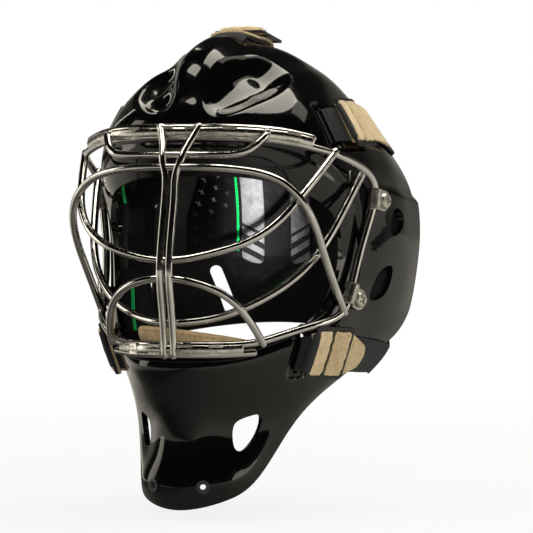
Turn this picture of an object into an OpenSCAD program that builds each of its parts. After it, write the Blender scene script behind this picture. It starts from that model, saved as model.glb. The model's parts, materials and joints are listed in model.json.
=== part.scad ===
// Hockey goalie mask: composite shell, welded wire cage, padding, back plate on
// elastic straps and a chin sling. Millimetres. -Y is the face, +Z is up, +X is
// the wearer's left, and the origin is the middle of the wearer's head.

/* [Shell] */
// Width over the ears
mask_w = 220; // [205:1:235]
// Depth from the chin lip to the rear edge at the crown
mask_d = 180; // [168:1:192]
// Height from the chin to the top of the crest
mask_h = 316; // [300:1:332]
// Wall of the composite shell
shell_wall = 4; // [3:0.25:5]
// How far the band round the face opening lies below the shell
band_step = 2.2; // [1:0.1:3]
// Rise of the crest on the forehead
crest_rise = 8; // [4:0.5:10]
// Depth of the two dimples beside the crest
dimple_depth = 9; // [5:0.5:11]
// Width of the strap slots
slot_w = 29; // [27:1:32]
// Height of the strap slots
slot_h = 5; // [4.5:0.25:7]

/* [Cage] */
// Diameter of the cage wires
wire_d = 5.2; // [4:0.1:6]
// Centre distance of the doubled wires on the top and bottom rails
rail_pitch = 6; // [5.8:0.1:7]
// Centre distance of the two centre bars
centre_pitch = 6.4; // [6.2:0.1:8]
// Thickness of the weld plates
plate_t = 1.6; // [1:0.1:2]

/* [Clips and screws] */
// Diameter of the clip screws
screw_d = 4.8; // [4:0.1:5]
// Diameter of the screw heads
head_d = 11; // [9:0.5:12]
// Thickness of the clip straps
clip_t = 1.8; // [1.2:0.1:2.4]
// Width of the clip straps
clip_w = 14; // [10:0.5:16]
// Thickness of the rubber washers
washer_t = 2; // [1:0.25:3]
// Diameter of the rubber washers
washer_d = 14; // [12.5:0.5:15]
// Bore of the chin eyelets
eyelet_bore = 4; // [3:0.25:4.5]

/* [Padding] */
// Thickness of the forehead foam
forehead_t = 13; // [8:1:15]
// Thickness of the sweatband over the forehead foam
sweatband_t = 3; // [2:0.5:4]
// Thickness of the crown foam
crown_t = 14; // [8:1:16]
// Thickness of the temple foams
temple_t = 14; // [8:1:17]
// Thickness of the cheek foams
cheek_t = 19; // [10:1:20]
// Thickness of the foams behind the ear vents
ear_t = 12; // [8:1:14]
// Thickness of the chin foam
chin_t = 7; // [4:1:9]
// Diameter of the liner piping
piping_d = 2.4; // [1.6:0.2:3]

/* [Back plate] */
// Width of the back plate
plate_w = 172; // [160:2:174]
// Wall of the back plate
plate_wall = 3; // [2:0.25:4]
// Thickness of the back plate foam
back_foam_t = 9; // [6:0.5:11]
// Width of the slanted slots in the back plate
back_slot_w = 8; // [6:0.5:10]

/* [Straps] */
// Width of the elastic straps
strap_w = 25; // [20:1:28]
// Thickness of the elastic straps
strap_t = 1.8; // [1.2:0.1:2.2]
// Thickness of the suede tabs
suede_t = 1.8; // [1.5:0.1:2.6]
// Width of the suede tabs
tab_w = 31; // [28:1:32]
// Wall of the chin cup
cup_wall = 3; // [2:0.25:4]

/* [Hidden] */

// Freeform points are drawn for a mask of this width, depth and height.
drawn = [220, 180, 316];
function fit(p) = [p[0] * mask_w / drawn[0], p[1] * mask_d / drawn[1], p[2] * mask_h / drawn[2]];

// Shell surface: 14 columns of 8 points from the face opening to the outer edge.
// The columns go from the top centre over the left ear to the chin centre.
net = [
  [[0,-103,61], [0,-110,78], [0,-111,98], [0,-101,119], [0,-80,138], [0,-45,150], [0,0,153], [0,48,136]],
  [[28,-100,61], [30,-107,78], [30,-107,98], [27,-96,117], [24,-77,135], [24,-44,148], [25,0,150], [26,47,133]],
  [[50,-90,58], [54,-96,76], [54,-93,96], [48,-81,113], [42,-64,128], [41,-37,137], [43,4,140], [46,47,125]],
  [[68,-76,52], [74,-77,69], [74,-73,89], [70,-63,105], [64,-45,120], [60,-22,129], [59,12,127], [61,48,112]],
  [[79,-58,43], [86,-55,55], [89,-47,67], [87,-34,79], [83,-18,90], [78,3,98], [76,26,100], [76,50,93]],
  [[85,-47,32], [91,-39,41], [95,-28,50], [98,-14,57], [99,2,61], [99,18,64], [98,34,65], [97,50,63]],
  [[86,-41,18], [91,-32,23], [95,-20,28], [99,-7,32], [102,6,35], [104,19,37], [105,32,38], [106,45,38]],
  [[85,-41,1], [90,-32,2], [94,-21,2], [98,-9,2], [101,4,2], [103,16,2], [105,29,3], [106,42,4]],
  [[81,-48,-17], [86,-40,-20], [90,-30,-23], [93,-18,-26], [96,-6,-29], [98,7,-32], [99,20,-36], [99,32,-41]],
  [[72,-64,-34], [77,-57,-39], [80,-48,-45], [82,-38,-50], [83,-28,-54], [84,-18,-58], [84,-8,-61], [83,1,-63]],
  [[55,-88,-45], [58,-86,-54], [58,-80,-63], [58,-73,-72], [59,-66,-79], [60,-60,-85], [60,-54,-91], [59,-48,-95]],
  [[33,-111,-50], [36,-115,-61], [33,-109,-74], [30,-102,-88], [31,-97,-101], [34,-93,-114], [39,-92,-127], [42,-87,-139]],
  [[16,-121,-50], [19,-127,-61], [18,-124,-73], [15,-117,-88], [15,-114,-104], [18,-114,-121], [26,-116,-138], [26,-111,-152]],
  [[0,-124,-50], [0,-130,-60], [0,-129,-72], [0,-121,-88], [0,-118,-105], [0,-119,-122], [0,-125,-141], [0,-122,-157]]
];
cols_half = len(net);
rows = len(net[0]);
last_row = rows - 1;
loop = 2 * (cols_half - 1);
function flip(p) = [-p[0], p[1], p[2]];
function wrap(i) = (i % loop + loop) % loop;
columns = [for (i = [0:loop - 1]) [for (p = net[min(i, loop - i)]) fit(i < cols_half ? p : flip(p))]];

function unit(v) = v / norm(v);
// Smooth step from 0 at a to 1 at b
function ease(x, a, b) = let (t = min(1, max(0, (x - a) / (b - a)))) t * t * (3 - 2 * t);
// Curve through b and c, with its neighbours a and d
function blend4(a, b, c, d, t) =
  0.5 * (2 * b + (c - a) * t + (2 * a - 5 * b + 4 * c - d) * t * t + (3 * b - a - 3 * c + d) * t * t * t);
// Point at place s of an open list
function along(list, s) =
  let (j = max(0, min(floor(s), len(list) - 2)), b = list[j], c = list[j + 1],
       a = j > 0 ? list[j - 1] : 2 * b - c, d = j + 2 < len(list) ? list[j + 2] : 2 * c - b)
  blend4(a, b, c, d, s - j);
// The same list as a curve with n steps to each pair of points
function curve(list, n) = [for (k = [0:(len(list) - 1) * n]) along(list, k / n)];

// Plain shell surface at column u and row s
function base(u, s) =
  let (i = floor(u))
  blend4(along(columns[wrap(i - 1)], s), along(columns[wrap(i)], s),
         along(columns[wrap(i + 1)], s), along(columns[wrap(i + 2)], s), u - i);
feel = 0.02;
function outward(u, s) =
  let (low = max(0, s - feel), high = min(last_row, s + feel))
  unit(cross(base(u + feel, s) - base(u - feel, s), base(u, high) - base(u, low)));

// Crest, dimples, ear flare and the band round the face opening, as a rise over the plain surface
crest_half = 24;
dimple_centre = [36, -74, 130];
dimple_axis = unit([0.42, 0.72, 0.55]);
dimple_long = 46;
dimple_short = 21;
flare_rise = 3.5;
flare_top = 64;
function dimple_reach(q) =
  let (v = q - dimple_centre, l = v * dimple_axis)
  norm([l / dimple_long, sqrt(max(0, v * v - l * l)) / dimple_short]);
function drawn_at(p) = [p[0] * drawn[0] / mask_w, p[1] * drawn[1] / mask_d, p[2] * drawn[2] / mask_h];
function rise(p, s) =
  let (d = drawn_at(p), q = [abs(d[0]), d[1], d[2]], ridge = flare_top - 0.14 * (q[1] + 40))
  crest_rise * (1 - ease(q[0], 4, crest_half)) * ease(q[2], 112, 140) * (1 - ease(q[1], -42, -14))
  - dimple_depth * (1 - ease(dimple_reach(q), 0.3, 1.1))
  + flare_rise * ease(ridge - q[2], 1, 9) * ease(q[1], -30, 25) * ease(q[2], -60, -25)
  - band_step * (1 - ease(s, 1.3, 1.7)) * ease(q[2], -52, -30);
// Point at a depth below the finished outer surface
function skin(u, s, depth = 0) = let (p = base(u, s)) p + outward(u, s) * (rise(p, s) - depth);

// Closed solid between two grids of points, face_a looking outwards
module slab(face_a, face_b, ring = false) {
  nu = len(face_a);
  ns = len(face_a[0]);
  back = nu * ns;
  last = ring ? nu - 1 : nu - 2;
  function at(i, j) = (i % nu) * ns + j;
  faces = concat(
    [for (i = [0:last], j = [0:ns - 2], k = [0, 1])
      k == 0 ? [at(i, j), at(i, j + 1), at(i + 1, j + 1)] : [at(i, j), at(i + 1, j + 1), at(i + 1, j)]],
    [for (i = [0:last], j = [0:ns - 2], k = [0, 1])
      k == 0 ? [back + at(i, j), back + at(i + 1, j + 1), back + at(i, j + 1)]
             : [back + at(i, j), back + at(i + 1, j), back + at(i + 1, j + 1)]],
    [for (i = [0:last], k = [0, 1])
      k == 0 ? [at(i, 0), at(i + 1, 0), back + at(i + 1, 0)] : [at(i, 0), back + at(i + 1, 0), back + at(i, 0)]],
    [for (i = [0:last], k = [0, 1])
      k == 0 ? [at(i + 1, ns - 1), at(i, ns - 1), back + at(i, ns - 1)]
             : [at(i + 1, ns - 1), back + at(i, ns - 1), back + at(i + 1, ns - 1)]],
    ring ? [] : [for (j = [0:ns - 2], k = [0, 1])
      k == 0 ? [at(0, j + 1), at(0, j), back + at(0, j)] : [at(0, j + 1), back + at(0, j), back + at(0, j + 1)]],
    ring ? [] : [for (j = [0:ns - 2], k = [0, 1])
      k == 0 ? [at(nu - 1, j), at(nu - 1, j + 1), back + at(nu - 1, j + 1)]
             : [at(nu - 1, j), back + at(nu - 1, j + 1), back + at(nu - 1, j)]]);
  polyhedron(points = [for (grid = [face_a, face_b], r = grid, p = r) p], faces = faces);
}

// Round tube along points, its rings turned by the way out from the head
module tube(path, d, sides = 7, ring = false) {
  n = len(path);
  function ahead(i) = ring ? path[(i + 1) % n] : path[min(n - 1, i + 1)];
  function behind(i) = ring ? path[(i + n - 1) % n] : path[max(0, i - 1)];
  points = [for (i = [0:n - 1])
    let (t = unit(ahead(i) - behind(i)), side = unit(cross(t, path[i])), up = cross(side, t))
    for (k = [0:sides - 1]) let (a = 360 * k / sides) path[i] + d / 2 * (cos(a) * side + sin(a) * up)];
  last = ring ? n - 1 : n - 2;
  function at(i, k) = (i % n) * sides + k % sides;
  faces = concat(
    [for (i = [0:last], k = [0:sides - 1], h = [0, 1])
      h == 0 ? [at(i, k), at(i + 1, k + 1), at(i + 1, k)] : [at(i, k), at(i, k + 1), at(i + 1, k + 1)]],
    ring ? [] : [[for (k = [sides - 1:-1:0]) k], [for (k = [0:sides - 1]) at(n - 1, k)]]);
  polyhedron(points = points, faces = faces);
}
function mirrored(half) = concat([for (k = [len(half) - 1:-1:1]) flip(half[k])], half);
module both() { children(); mirror([1, 0, 0]) children(); }

// Puts +Z along a direction at a point
module aim(at, dir) {
  translate(at) rotate([0, acos(unit(dir)[2]), atan2(dir[1], dir[0])]) children();
}

// Shell
shell_steps = 3;
shell_rows = 15;
half_u = [for (k = [0:(cols_half - 1) * shell_steps]) k / shell_steps];
function shell_grid(depth) =
  let (half = [for (u = half_u) [for (j = [0:shell_rows]) skin(u, last_row * j / shell_rows, depth)]])
  concat(half, [for (k = [len(half) - 2:-1:1]) [for (p = half[k]) flip(p)]]);

// Openings cut through the shell, as corners given by column and row
ear_vent_upper = [[5.72, 4.0], [5.98, 5.05], [6.34, 4.95], [6.46, 3.6]];
ear_vent_lower = [[6.95, 4.1], [7.18, 4.35], [7.66, 4.1], [7.86, 3.05], [7.6, 2.8], [7.1, 3.1]];
chin_vent = [[10.5, 4.2], [10.7, 5.25], [11.25, 5.35], [11.12, 4.1], [10.9, 3.85]];
cut_reach = 12;

function rounded(p, times) = times == 0 ? p
  : rounded([for (i = [0:len(p) - 1], k = [0, 1])
      let (a = p[i], b = p[(i + 1) % len(p)]) k == 0 ? a * 0.75 + b * 0.25 : a * 0.25 + b * 0.75], times - 1);
// Prism through the shell over corners given by column and row, all along one normal
module shell_cut(corners) {
  ring = rounded(corners, 1);
  n = len(ring);
  mid = [for (k = [0, 1]) [for (c = corners) c[k]] * [for (c = corners) 1] / len(corners)];
  way = outward(mid[0], mid[1]) * cut_reach;
  at_skin = [for (c = ring) skin(c[0], c[1])];
  polyhedron(
    points = concat([for (p = at_skin) p - way], [for (p = at_skin) p + way]),
    faces = concat([for (i = [0:n - 1], k = [0, 1]) let (j = (i + 1) % n)
                     k == 0 ? [i, j, n + j] : [i, n + j, n + i]],
                   [[for (i = [n - 1:-1:0]) i], [for (i = [0:n - 1]) n + i]]));
}
// Frame on the shell: place, way out, and the way a strap runs towards the outer edge
function place(c, depth = 0) = skin(c[0], c[1], depth);
function runs(c) = let (n = outward(c[0], c[1]), t = skin(c[0], c[1] + 0.1) - skin(c[0], c[1] - 0.1))
  unit(t - n * (t * n));
module on_shell(c, depth = 0) {
  n = outward(c[0], c[1]);
  t = runs(c);
  w = cross(n, t);
  p = place(c, depth);
  multmatrix([[w[0], t[0], n[0], p[0]], [w[1], t[1], n[1], p[1]], [w[2], t[2], n[2], p[2]]]) children();
}
// Frame of a strap on the shell: x across the strap, y along it to the rear, z out
module on_strap(c, across, lift) {
  n = outward(c[0], c[1]);
  w = unit(across - n * (across * n));
  t = cross(n, w);
  p = skin(c[0], c[1], -lift);
  multmatrix([[w[0], t[0], n[0], p[0]], [w[1], t[1], n[1], p[1]], [w[2], t[2], n[2], p[2]]]) children();
}
module slot_cut(strap) {
  on_strap(strap[0][0], strap[1], 0)
    translate([-slot_w / 2, -slot_h / 2, -cut_reach]) cube([slot_w, slot_h, 2 * cut_reach]);
}

// Clip screws by column and row, and the eyelets of the chin
screw_upper = [5.44, 2.96];
screw_lower = [7.89, 1.83];
screws = [screw_upper, screw_lower];
eyelet_at = [12.35, 6.1];
hole_gap = 0.4;
barrel_d = screw_d + 2.2;
eyelet_wall = 1;
eyelet_rim = 1.6;
eyelet_lip = 0.8;
eyelet_d = eyelet_bore + 2 * eyelet_wall;

module shell() {
  color([0.02, 0.02, 0.025])
  resize([0, 0, 0])
  difference() {
    slab(shell_grid(0), shell_grid(shell_wall), true);
    both() {
      shell_cut(ear_vent_upper);
      shell_cut(ear_vent_lower);
      shell_cut(chin_vent);
      slot_cut(upper);
      slot_cut(lower);
      for (c = screws)
        on_shell(c) cylinder(d = barrel_d + 2 * hole_gap, h = 2 * cut_reach, center = true, $fn = 14);
      on_shell(eyelet_at) cylinder(d = eyelet_d + 2 * hole_gap, h = 2 * cut_reach, center = true, $fn = 14);
    }
    slot_cut(top);
  }
}

// Eyelets of the chin, one each side, with a true bore for a throat guard's cord
module chin_eyelets() {
  color([0.05, 0.05, 0.055])
  both() on_shell(eyelet_at, shell_wall + hole_gap)
  difference() {
    union() {
      cylinder(d = eyelet_d, h = shell_wall + 2 * hole_gap, $fn = 48);
      translate([0, 0, -eyelet_lip]) cylinder(d = eyelet_d + 2 * eyelet_rim, h = eyelet_lip, $fn = 48);
      translate([0, 0, shell_wall + 2 * hole_gap])
        cylinder(d = eyelet_d + 2 * eyelet_rim, h = eyelet_lip, $fn = 48);
    }
    translate([0, 0, -2 * eyelet_lip])
      cylinder(d = eyelet_bore, h = shell_wall + 2 * hole_gap + 4 * eyelet_lip, $fn = 48);
  }
}

// Cage: half wires from the middle outwards, mirrored to the other side
rail_line = [[0,-117,88], [25,-115,88], [48,-107,87], [66,-95,85], [80,-83,81], [91,-70,77], [97,-50,71],
  [100,-34,65], [101,-24,58], [101,-21,50], [99,-23,38], [94,-29,16], [91,-36,-6], [90,-42,-19], [88,-49,-29],
  [82,-62,-34], [72,-79,-38], [60,-96,-43], [49,-108,-47], [34,-120,-48], [18,-130,-48], [0,-134,-48]];
brow_bar_line = [[0,-127,76], [20,-126,76], [36,-123,76], [44,-121,77], [49,-118,79], [53,-114,83], [57,-107,89]];
eye_upper_line = [[0,-132,68], [20,-130,68], [38,-125,67], [53,-118,65], [68,-112,60], [79,-108,50],
  [86,-101,37], [88,-90,19], [88,-72,-2], [89,-47,-29]];
eye_lower_line = [[0,-142,7], [18,-140,9], [34,-136,13], [50,-130,18], [63,-122,26], [72,-114,36], [78,-104,47],
  [83,-92,58], [87,-81,68], [91,-69,79]];
mouth_line = [[0,-136,-34], [26,-122,-31], [44,-113,-24], [59,-102,-15], [72,-89,-3], [80,-78,9], [86,-67,23],
  [90,-56,37], [94,-45,52], [98,-33,67]];
chin_loop_line = [[0,-140,-4], [12,-141,-5], [24,-139,-8], [35,-134,-13], [44,-127,-21], [50,-119,-32],
  [53,-112,-41], [54,-105,-48]];
centre_bar_line = [[14,-117,95], [11,-121,88], [7,-127,79], [4,-131,72], [0,-133,62], [0,-135,46], [0,-139,28],
  [0,-142,12], [0,-143,0], [0,-142,-10], [0,-139,-24], [0,-136,-42], [0,-135,-55]];
centre_bar_half = [for (k = [0:len(centre_bar_line) - 1])
  let (p = centre_bar_line[k]) fit(p) + [centre_pitch / 2 * ease(k, 1, 4), 0, 0]];
function fitted(line) = [for (p = line) fit(p)];
rail_pts = fitted(rail_line);
last_rail = len(rail_pts) - 1;
brow_doubler_half = [for (k = [0:4]) rail_pts[k] + [0, 0, rail_pitch]];
chin_doubler_half = [for (k = [last_rail:-1:last_rail - 3]) rail_pts[k] - [0, 0, rail_pitch]];
steel = [0.78, 0.77, 0.74];

module wire(half, n = 2) { color(steel) tube(curve(mirrored(half), n), wire_d); }
module cage_frame_wire() {
  loop_pts = concat(rail_pts, [for (k = [last_rail - 1:-1:1]) flip(rail_pts[k])]);
  m = len(loop_pts);
  color(steel)
  tube([for (k = [0:m - 1], t = [0, 0.5])
    blend4(loop_pts[(k + m - 1) % m], loop_pts[k], loop_pts[(k + 1) % m], loop_pts[(k + 2) % m], t)],
    wire_d, ring = true);
}
module cage_brow_doubler() { wire(brow_doubler_half); }
module cage_chin_doubler() { wire(chin_doubler_half, 1); }
module cage_brow_bar() { wire(fitted(brow_bar_line)); }
module cage_eye_wire_upper() { wire(fitted(eye_upper_line)); }
module cage_eye_wire_lower() { wire(fitted(eye_lower_line)); }
module cage_mouth_wire() { wire(fitted(mouth_line)); }
module cage_chin_loop() { wire(fitted(chin_loop_line)); }
module cage_centre_bar_left() { color(steel) tube(curve(centre_bar_half, 1), wire_d); }
module cage_centre_bar_right() { mirror([1, 0, 0]) cage_centre_bar_left(); }

// Small plates that join the doubled wires, at places along the rails
brow_plates = [0.35, 1.35, 3.2];
chin_plates = [0.55, 1.6];
plate_l = 0.22;
module weld_plate(line, s, lift) {
  a = along(line, s - plate_l);
  b = along(line, s + plate_l);
  n = unit(cross(b - a, [0, 0, 1])) * plate_t / 2;
  up = [0, 0, lift];
  slab([[a + n, a + n + up], [b + n, b + n + up]], [[a - n, a - n + up], [b - n, b - n + up]]);
}
module cage_weld_plates() {
  color(steel) both() {
    for (s = brow_plates) weld_plate(rail_pts, s, rail_pitch);
    for (s = chin_plates) weld_plate(chin_doubler_half, s, rail_pitch);
  }
}

// Clips: a strap that grips the side of the frame wire and is screwed to the shell
clip_gap = 0.3;
stand = washer_t + clip_gap;
function nearest(p, list) = [for (d = [min([for (q = list) norm(q - p)])]) for (q = list) if (norm(q - p) == d) q][0];
frame_curve = curve(rail_pts, 12);
sleeve_d = wire_d + 2 * clip_gap;
module clip(c) {
  n = outward(c[0], c[1]);
  foot = place(c) + n * (stand + clip_t / 2);
  at_wire = nearest(place(c) + n * wire_d / 2, frame_curve);
  flat_way = at_wire - foot - n * ((at_wire - foot) * n);
  edge = foot + unit(flat_way) * (head_d / 2 + clip_gap);
  reach = at_wire - edge;
  along_wire = unit(cross(reach, n));
  side = unit(reach);
  up = cross(along_wire, side);
  difference() {
    union() {
      on_shell(c, -stand) cylinder(d = clip_w, h = clip_t, $fn = 48);
      multmatrix([[along_wire[0], side[0], up[0], edge[0]], [along_wire[1], side[1], up[1], edge[1]],
                  [along_wire[2], side[2], up[2], edge[2]]])
      difference() {
        union() {
          translate([-clip_w / 2, 0, -clip_t / 2]) cube([clip_w, norm(reach), clip_t]);
          translate([0, norm(reach), 0]) rotate([0, 90, 0])
            cylinder(d = sleeve_d + 2 * clip_t, h = clip_w, center = true, $fn = 48);
        }
        translate([0, norm(reach), 0]) rotate([0, 90, 0])
          cylinder(d = sleeve_d, h = clip_w + 1, center = true, $fn = 48);
        translate([-clip_w, norm(reach) - sleeve_d / 2, -sleeve_d - clip_t]) cube([2 * clip_w, 2 * sleeve_d, sleeve_d]);
      }
    }
    on_shell(c, -stand - clip_t / 2) cylinder(d = screw_d + 2 * hole_gap, h = 3 * clip_t, center = true, $fn = 48);
  }
}
module cage_clips_upper() { color([0.55, 0.54, 0.52]) both() clip(screw_upper); }
module cage_clips_lower() { color([0.55, 0.54, 0.52]) both() clip(screw_lower); }

head_h = 2.6;
nut_flange = 1.5;
nut_d = 13;
nut_gap = 1.2;
module clip_screws() {
  color([0.7, 0.69, 0.66])
  both() for (c = screws) on_shell(c, -(stand + clip_t + clip_gap)) {
    intersection() {
      cylinder(d = head_d, h = head_h, $fn = 48);
      translate([0, 0, head_h - head_d]) sphere(d = 2 * head_d, $fn = 64);
    }
    translate([0, 0, -(stand + clip_t + shell_wall)])
      cylinder(d = screw_d, h = stand + clip_t + shell_wall, $fn = 48);
  }
}
module clip_washers() {
  color([0.05, 0.05, 0.05])
  both() for (c = screws) on_shell(c, -clip_gap) difference() {
    cylinder(d = washer_d, h = washer_t - clip_gap, $fn = 48);
    translate([0, 0, -1]) cylinder(d = barrel_d, h = washer_t + 2, $fn = 48);
  }
}
// Nuts with a flange inside the shell, gripping the screws
module t_nuts() {
  color([0.6, 0.6, 0.58])
  both() for (c = screws) on_shell(c, shell_wall + nut_gap) difference() {
    union() {
      translate([0, 0, -nut_flange]) cylinder(d = nut_d, h = nut_flange, $fn = 48);
      translate([0, 0, -nut_flange]) cylinder(d = barrel_d, h = nut_flange + nut_gap + shell_wall, $fn = 48);
    }
    translate([0, 0, -nut_flange - 1]) cylinder(d = screw_d, h = nut_flange + nut_gap + shell_wall + 2, $fn = 48);
  }
}

// Padding: crowned pads glued inside the shell, in the range of columns and rows given
foam_gap = 1.4;
foam_black = [0.07, 0.07, 0.07];
function corner_in(p, q, r) = [p * sqrt(1 - q * q * r / 2), q * sqrt(1 - p * p * r / 2)];
module pad(u_range, s_range, gap, t, nu = 10, ns = 8, round = 0.5, groove = 0) {
  mid = [u_range[0] + u_range[1], s_range[0] + s_range[1]] / 2;
  half = [u_range[1] - u_range[0], s_range[1] - s_range[0]] / 2;
  function grid(shrink, depths) = [for (i = [0:nu]) [for (j = [0:ns])
    let (p = 2 * i / nu - 1, q = 2 * j / ns - 1, c = corner_in(p, q, round) * shrink)
    skin(mid[0] + half[0] * c[0], mid[1] + half[1] * c[1], depths(p, q))]];
  function crown(p, q) = t * (0.42 + 0.58 * pow((1 - pow(abs(p), 4)) * (1 - pow(abs(q), 4)), 0.6))
    - groove * exp(-pow(q * 9, 2));
  slab(grid(1, function (p, q) gap), grid(0.95, function (p, q) gap + crown(p, q)));
}
wall_gap = shell_wall + foam_gap;
module forehead_foam() { color(foam_black) pad([-2.1, 2.1], [0.7, 2.9], wall_gap, forehead_t, 14, 6); }
module sweatband() {
  color([0.12, 0.12, 0.12])
  pad([-1.8, 1.8], [0.85, 2.6], wall_gap + forehead_t + foam_gap / 2, sweatband_t, 14, 5);
}
module crown_foam() { color(foam_black) pad([-2.1, 2.1], [3.5, 6.3], wall_gap, crown_t, 10, 7); }
module temple_foam_left() { color(foam_black) pad([2.6, 4.9], [1.3, 5.8], wall_gap, temple_t, 7, 9); }
module temple_foam_right() { mirror([1, 0, 0]) temple_foam_left(); }
module cheek_foam_left() {
  color(foam_black) pad([7.25, 9], [2.7, 6.5], wall_gap, cheek_t, 8, 11, groove = 2.5);
}
module cheek_foam_right() { mirror([1, 0, 0]) cheek_foam_left(); }
// The ear foams stand further off the wall, so that air gets from the vents to the rear edge
// The ear foam's inner face keeps clear of the side edge of the back plate
ear_gap = 12;
ear_deep = ear_t - (plate_w - 172) / 2;
module ear_foam_left() { color(foam_black) pad([4.8, 7.2], [5, 5.9], ear_gap, ear_deep, 7, 4); }
module ear_foam_right() { mirror([1, 0, 0]) ear_foam_left(); }
module chin_foam() { color(foam_black) pad([11.4, 14.6], [1.4, 3.6], wall_gap, chin_t, 10, 6); }

// Green piping along the inner edges of the temple and cheek foams
module piping_run(list, depth) {
  tube([for (p = curve(list, 3)) skin(p[0], p[1], depth)], piping_d, 5);
}
module liner_piping() {
  color([0.05, 0.55, 0.2]) both() {
    piping_run([[2.9, 1.05], [3.8, 1.0], [4.9, 1.1]], wall_gap + temple_t / 2);
    piping_run([[7.5, 2.2], [8.2, 2.15], [9.0, 2.25]], wall_gap + cheek_t / 2);
  }
}

// Straps: an elastic from a slot over the shell to the back plate, a suede tab over it,
// and a slide with two suede bands through its windows.
strap_lift = 0.6;
layer_gap = 0.5;
tab_lift = strap_lift + strap_t + layer_gap;
slide_lift = tab_lift + suede_t + 2 * layer_gap;
slide_t = 1.6;
slide_bar = 2.4;
band_front = 11.5;
band_rear = 15.5;
band_rise = 1.2;
window_gap = 0.4;
strap_black = [0.03, 0.03, 0.03];
suede_tan = [0.72, 0.6, 0.4];

// Each strap: places on the shell from the slot to the rear edge, the way across it,
// the slide's place along it, and how far the suede tab reaches. A place may lie past the edge
upper = [[[3.42, 3.1], [3.88, 4.2], [4.02, 5.2], [4.1, 6.1], [4.1, 6.95]], [0.5, 0, -0.87], [3.89, 4.3], 3.3];
lower = [[[9.62, 1.85], [9.26, 2.65], [9.08, 3.7], [8.95, 5.1], [8.86, 6.6], [8.75, 8.3]],
         [-0.28, 0.05, -0.96], [9.27, 2.5], 3.3];
top = [[[0, 5.1], [0, 5.6], [0, 6.1], [0, 6.5], [0, 6.95]], [1, 0, 0], [0, 6.0], 2.6];

// Point on the shell, or straight on past its rear edge
function reach(u, s, depth) = let (e = skin(u, min(s, last_row), depth))
  s <= last_row ? e : e + (s - last_row) * 10 * (e - skin(u, last_row - 0.1, depth));
// Shift in columns and rows that moves a place by a vector along the shell
function shift(c, v) =
  let (s = min(last_row - 0.05, c[1]),
       a = (skin(c[0] + 0.05, s) - skin(c[0] - 0.05, s)) / 0.1,
       b = (skin(c[0], s + 0.05) - skin(c[0], s - 0.05)) / 0.1,
       aa = a * a, ab = a * b, bb = b * b, av = a * v, bv = b * v, det = aa * bb - ab * ab)
  [(av * bb - bv * ab) / det, (bv * aa - av * ab) / det];
across_steps = 3;
// One row of points across a strap that lies on the shell, raised over the roof of the crest
crest_lift = 0.7;
function shell_row(c, dir, w, lift) =
  let (n = outward(c[0], min(c[1], last_row)), d = shift(c, unit(dir - n * (dir * n))))
  [for (k = [0:across_steps]) let (x = w * (0.5 - k / across_steps))
    reach(c[0] + d[0] * x, c[1] + d[1] * x, -lift - (c[0] == 0 ? crest_lift : 0))];
function bend(a, ta, b, tb, t) =
  a * (2 * t * t * t - 3 * t * t + 1) + ta * (t * t * t - 2 * t * t + t)
  + b * (3 * t * t - 2 * t * t * t) + tb * (t * t * t - t * t);

// Back plate surface: a bent sheet behind the head, by its side place x and height z
back_line = [for (p = [[58, -70], [62, -46], [68, -20], [70, 10], [69, 45], [61, 80], [49, 105], [37, 122], [25, 135]])
  [p[0] * mask_d / drawn[1], p[1] * mask_h / drawn[2]]];
back_radius = 95;
function back_y(z) =
  let (k = max([for (i = [0:len(back_line) - 2]) if (i == 0 || z >= back_line[i][1]) i]),
       t = (z - back_line[k][1]) / (back_line[k + 1][1] - back_line[k][1]))
  along(back_line, k + t)[0];
function back_way(x, z) = unit([x / back_radius, 1, -(back_y(z + 1) - back_y(z - 1)) / 2]);
// Point on the back plate's outer face, or further out by lift
function back_at(x, z, lift = 0) = [x, back_y(z) - x * x / 2 / back_radius, z] + back_way(x, z) * lift;
function back_row(x, z, dir, w, lift) =
  [for (k = [0:across_steps]) let (s = w * (0.5 - k / across_steps)) back_at(x + dir[0] * s, z + dir[1] * s, lift)];

// Where the elastics meet the back plate: side place, height, and the way across them there
anchor_upper = [plate_w / 2 - 28, 74, [0.25, -0.97], [-30, 17, -8]];
anchor_lower = [plate_w / 2 - 28, -22, [-0.15, -0.99], [-48, 30, 8]];
anchor_top = [0, 96, [1, 0], [0, 10, -26]];
rivet_d = 4.5;
rivet_head_d = 10;
rivet_head_h = 1.6;
plate_gap = 0.4;
free_steps = 5;
leave = 16;
edge_clear = 4;

module elastic(strap, anchor) {
  path = curve(strap[0], 2);
  last_c = path[len(path) - 1];
  way = runs([last_c[0], min(last_c[1], last_row) - 0.2]) * leave;
  function grid(lift, plate_lift) =
    let (start = [for (p = shell_row(last_c, strap[1], strap_w, lift)) p + unit(way) * edge_clear],
         end = back_row(anchor[0], anchor[1], anchor[2], strap_w, plate_lift))
    concat([for (c = path) shell_row(c, strap[1], strap_w, lift)],
           [for (i = [0:free_steps]) [for (k = [0:across_steps])
             bend(start[k], way, end[k], anchor[3], i / free_steps)]],
           [back_row(anchor[0] - 12 * sign(anchor[0]), anchor[1] - (anchor[0] == 0 ? 12 : 0), anchor[2],
                     strap_w, plate_lift)]);
  color(strap_black)
  difference() {
    slab(grid(strap_lift + strap_t, plate_gap + strap_t), grid(strap_lift, plate_gap));
    rivet_hole(anchor);
  }
}
module on_back(x, z, lift = 0) { aim(back_at(x, z, lift), back_way(x, z)) children(); }
module at_rivet(anchor, lift = 0) {
  inset = anchor[0] == 0 ? 0 : 6 * sign(anchor[0]);
  on_back(anchor[0] - inset, anchor[1] - (anchor[0] == 0 ? 6 : 0), lift) children();
}
module rivet_hole(anchor) {
  at_rivet(anchor) cylinder(d = rivet_d + 2 * hole_gap, h = 4 * plate_wall, center = true, $fn = 16);
}
module elastic_top() { elastic(top, anchor_top); }
module elastic_upper_left() { elastic(upper, anchor_upper); }
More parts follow.
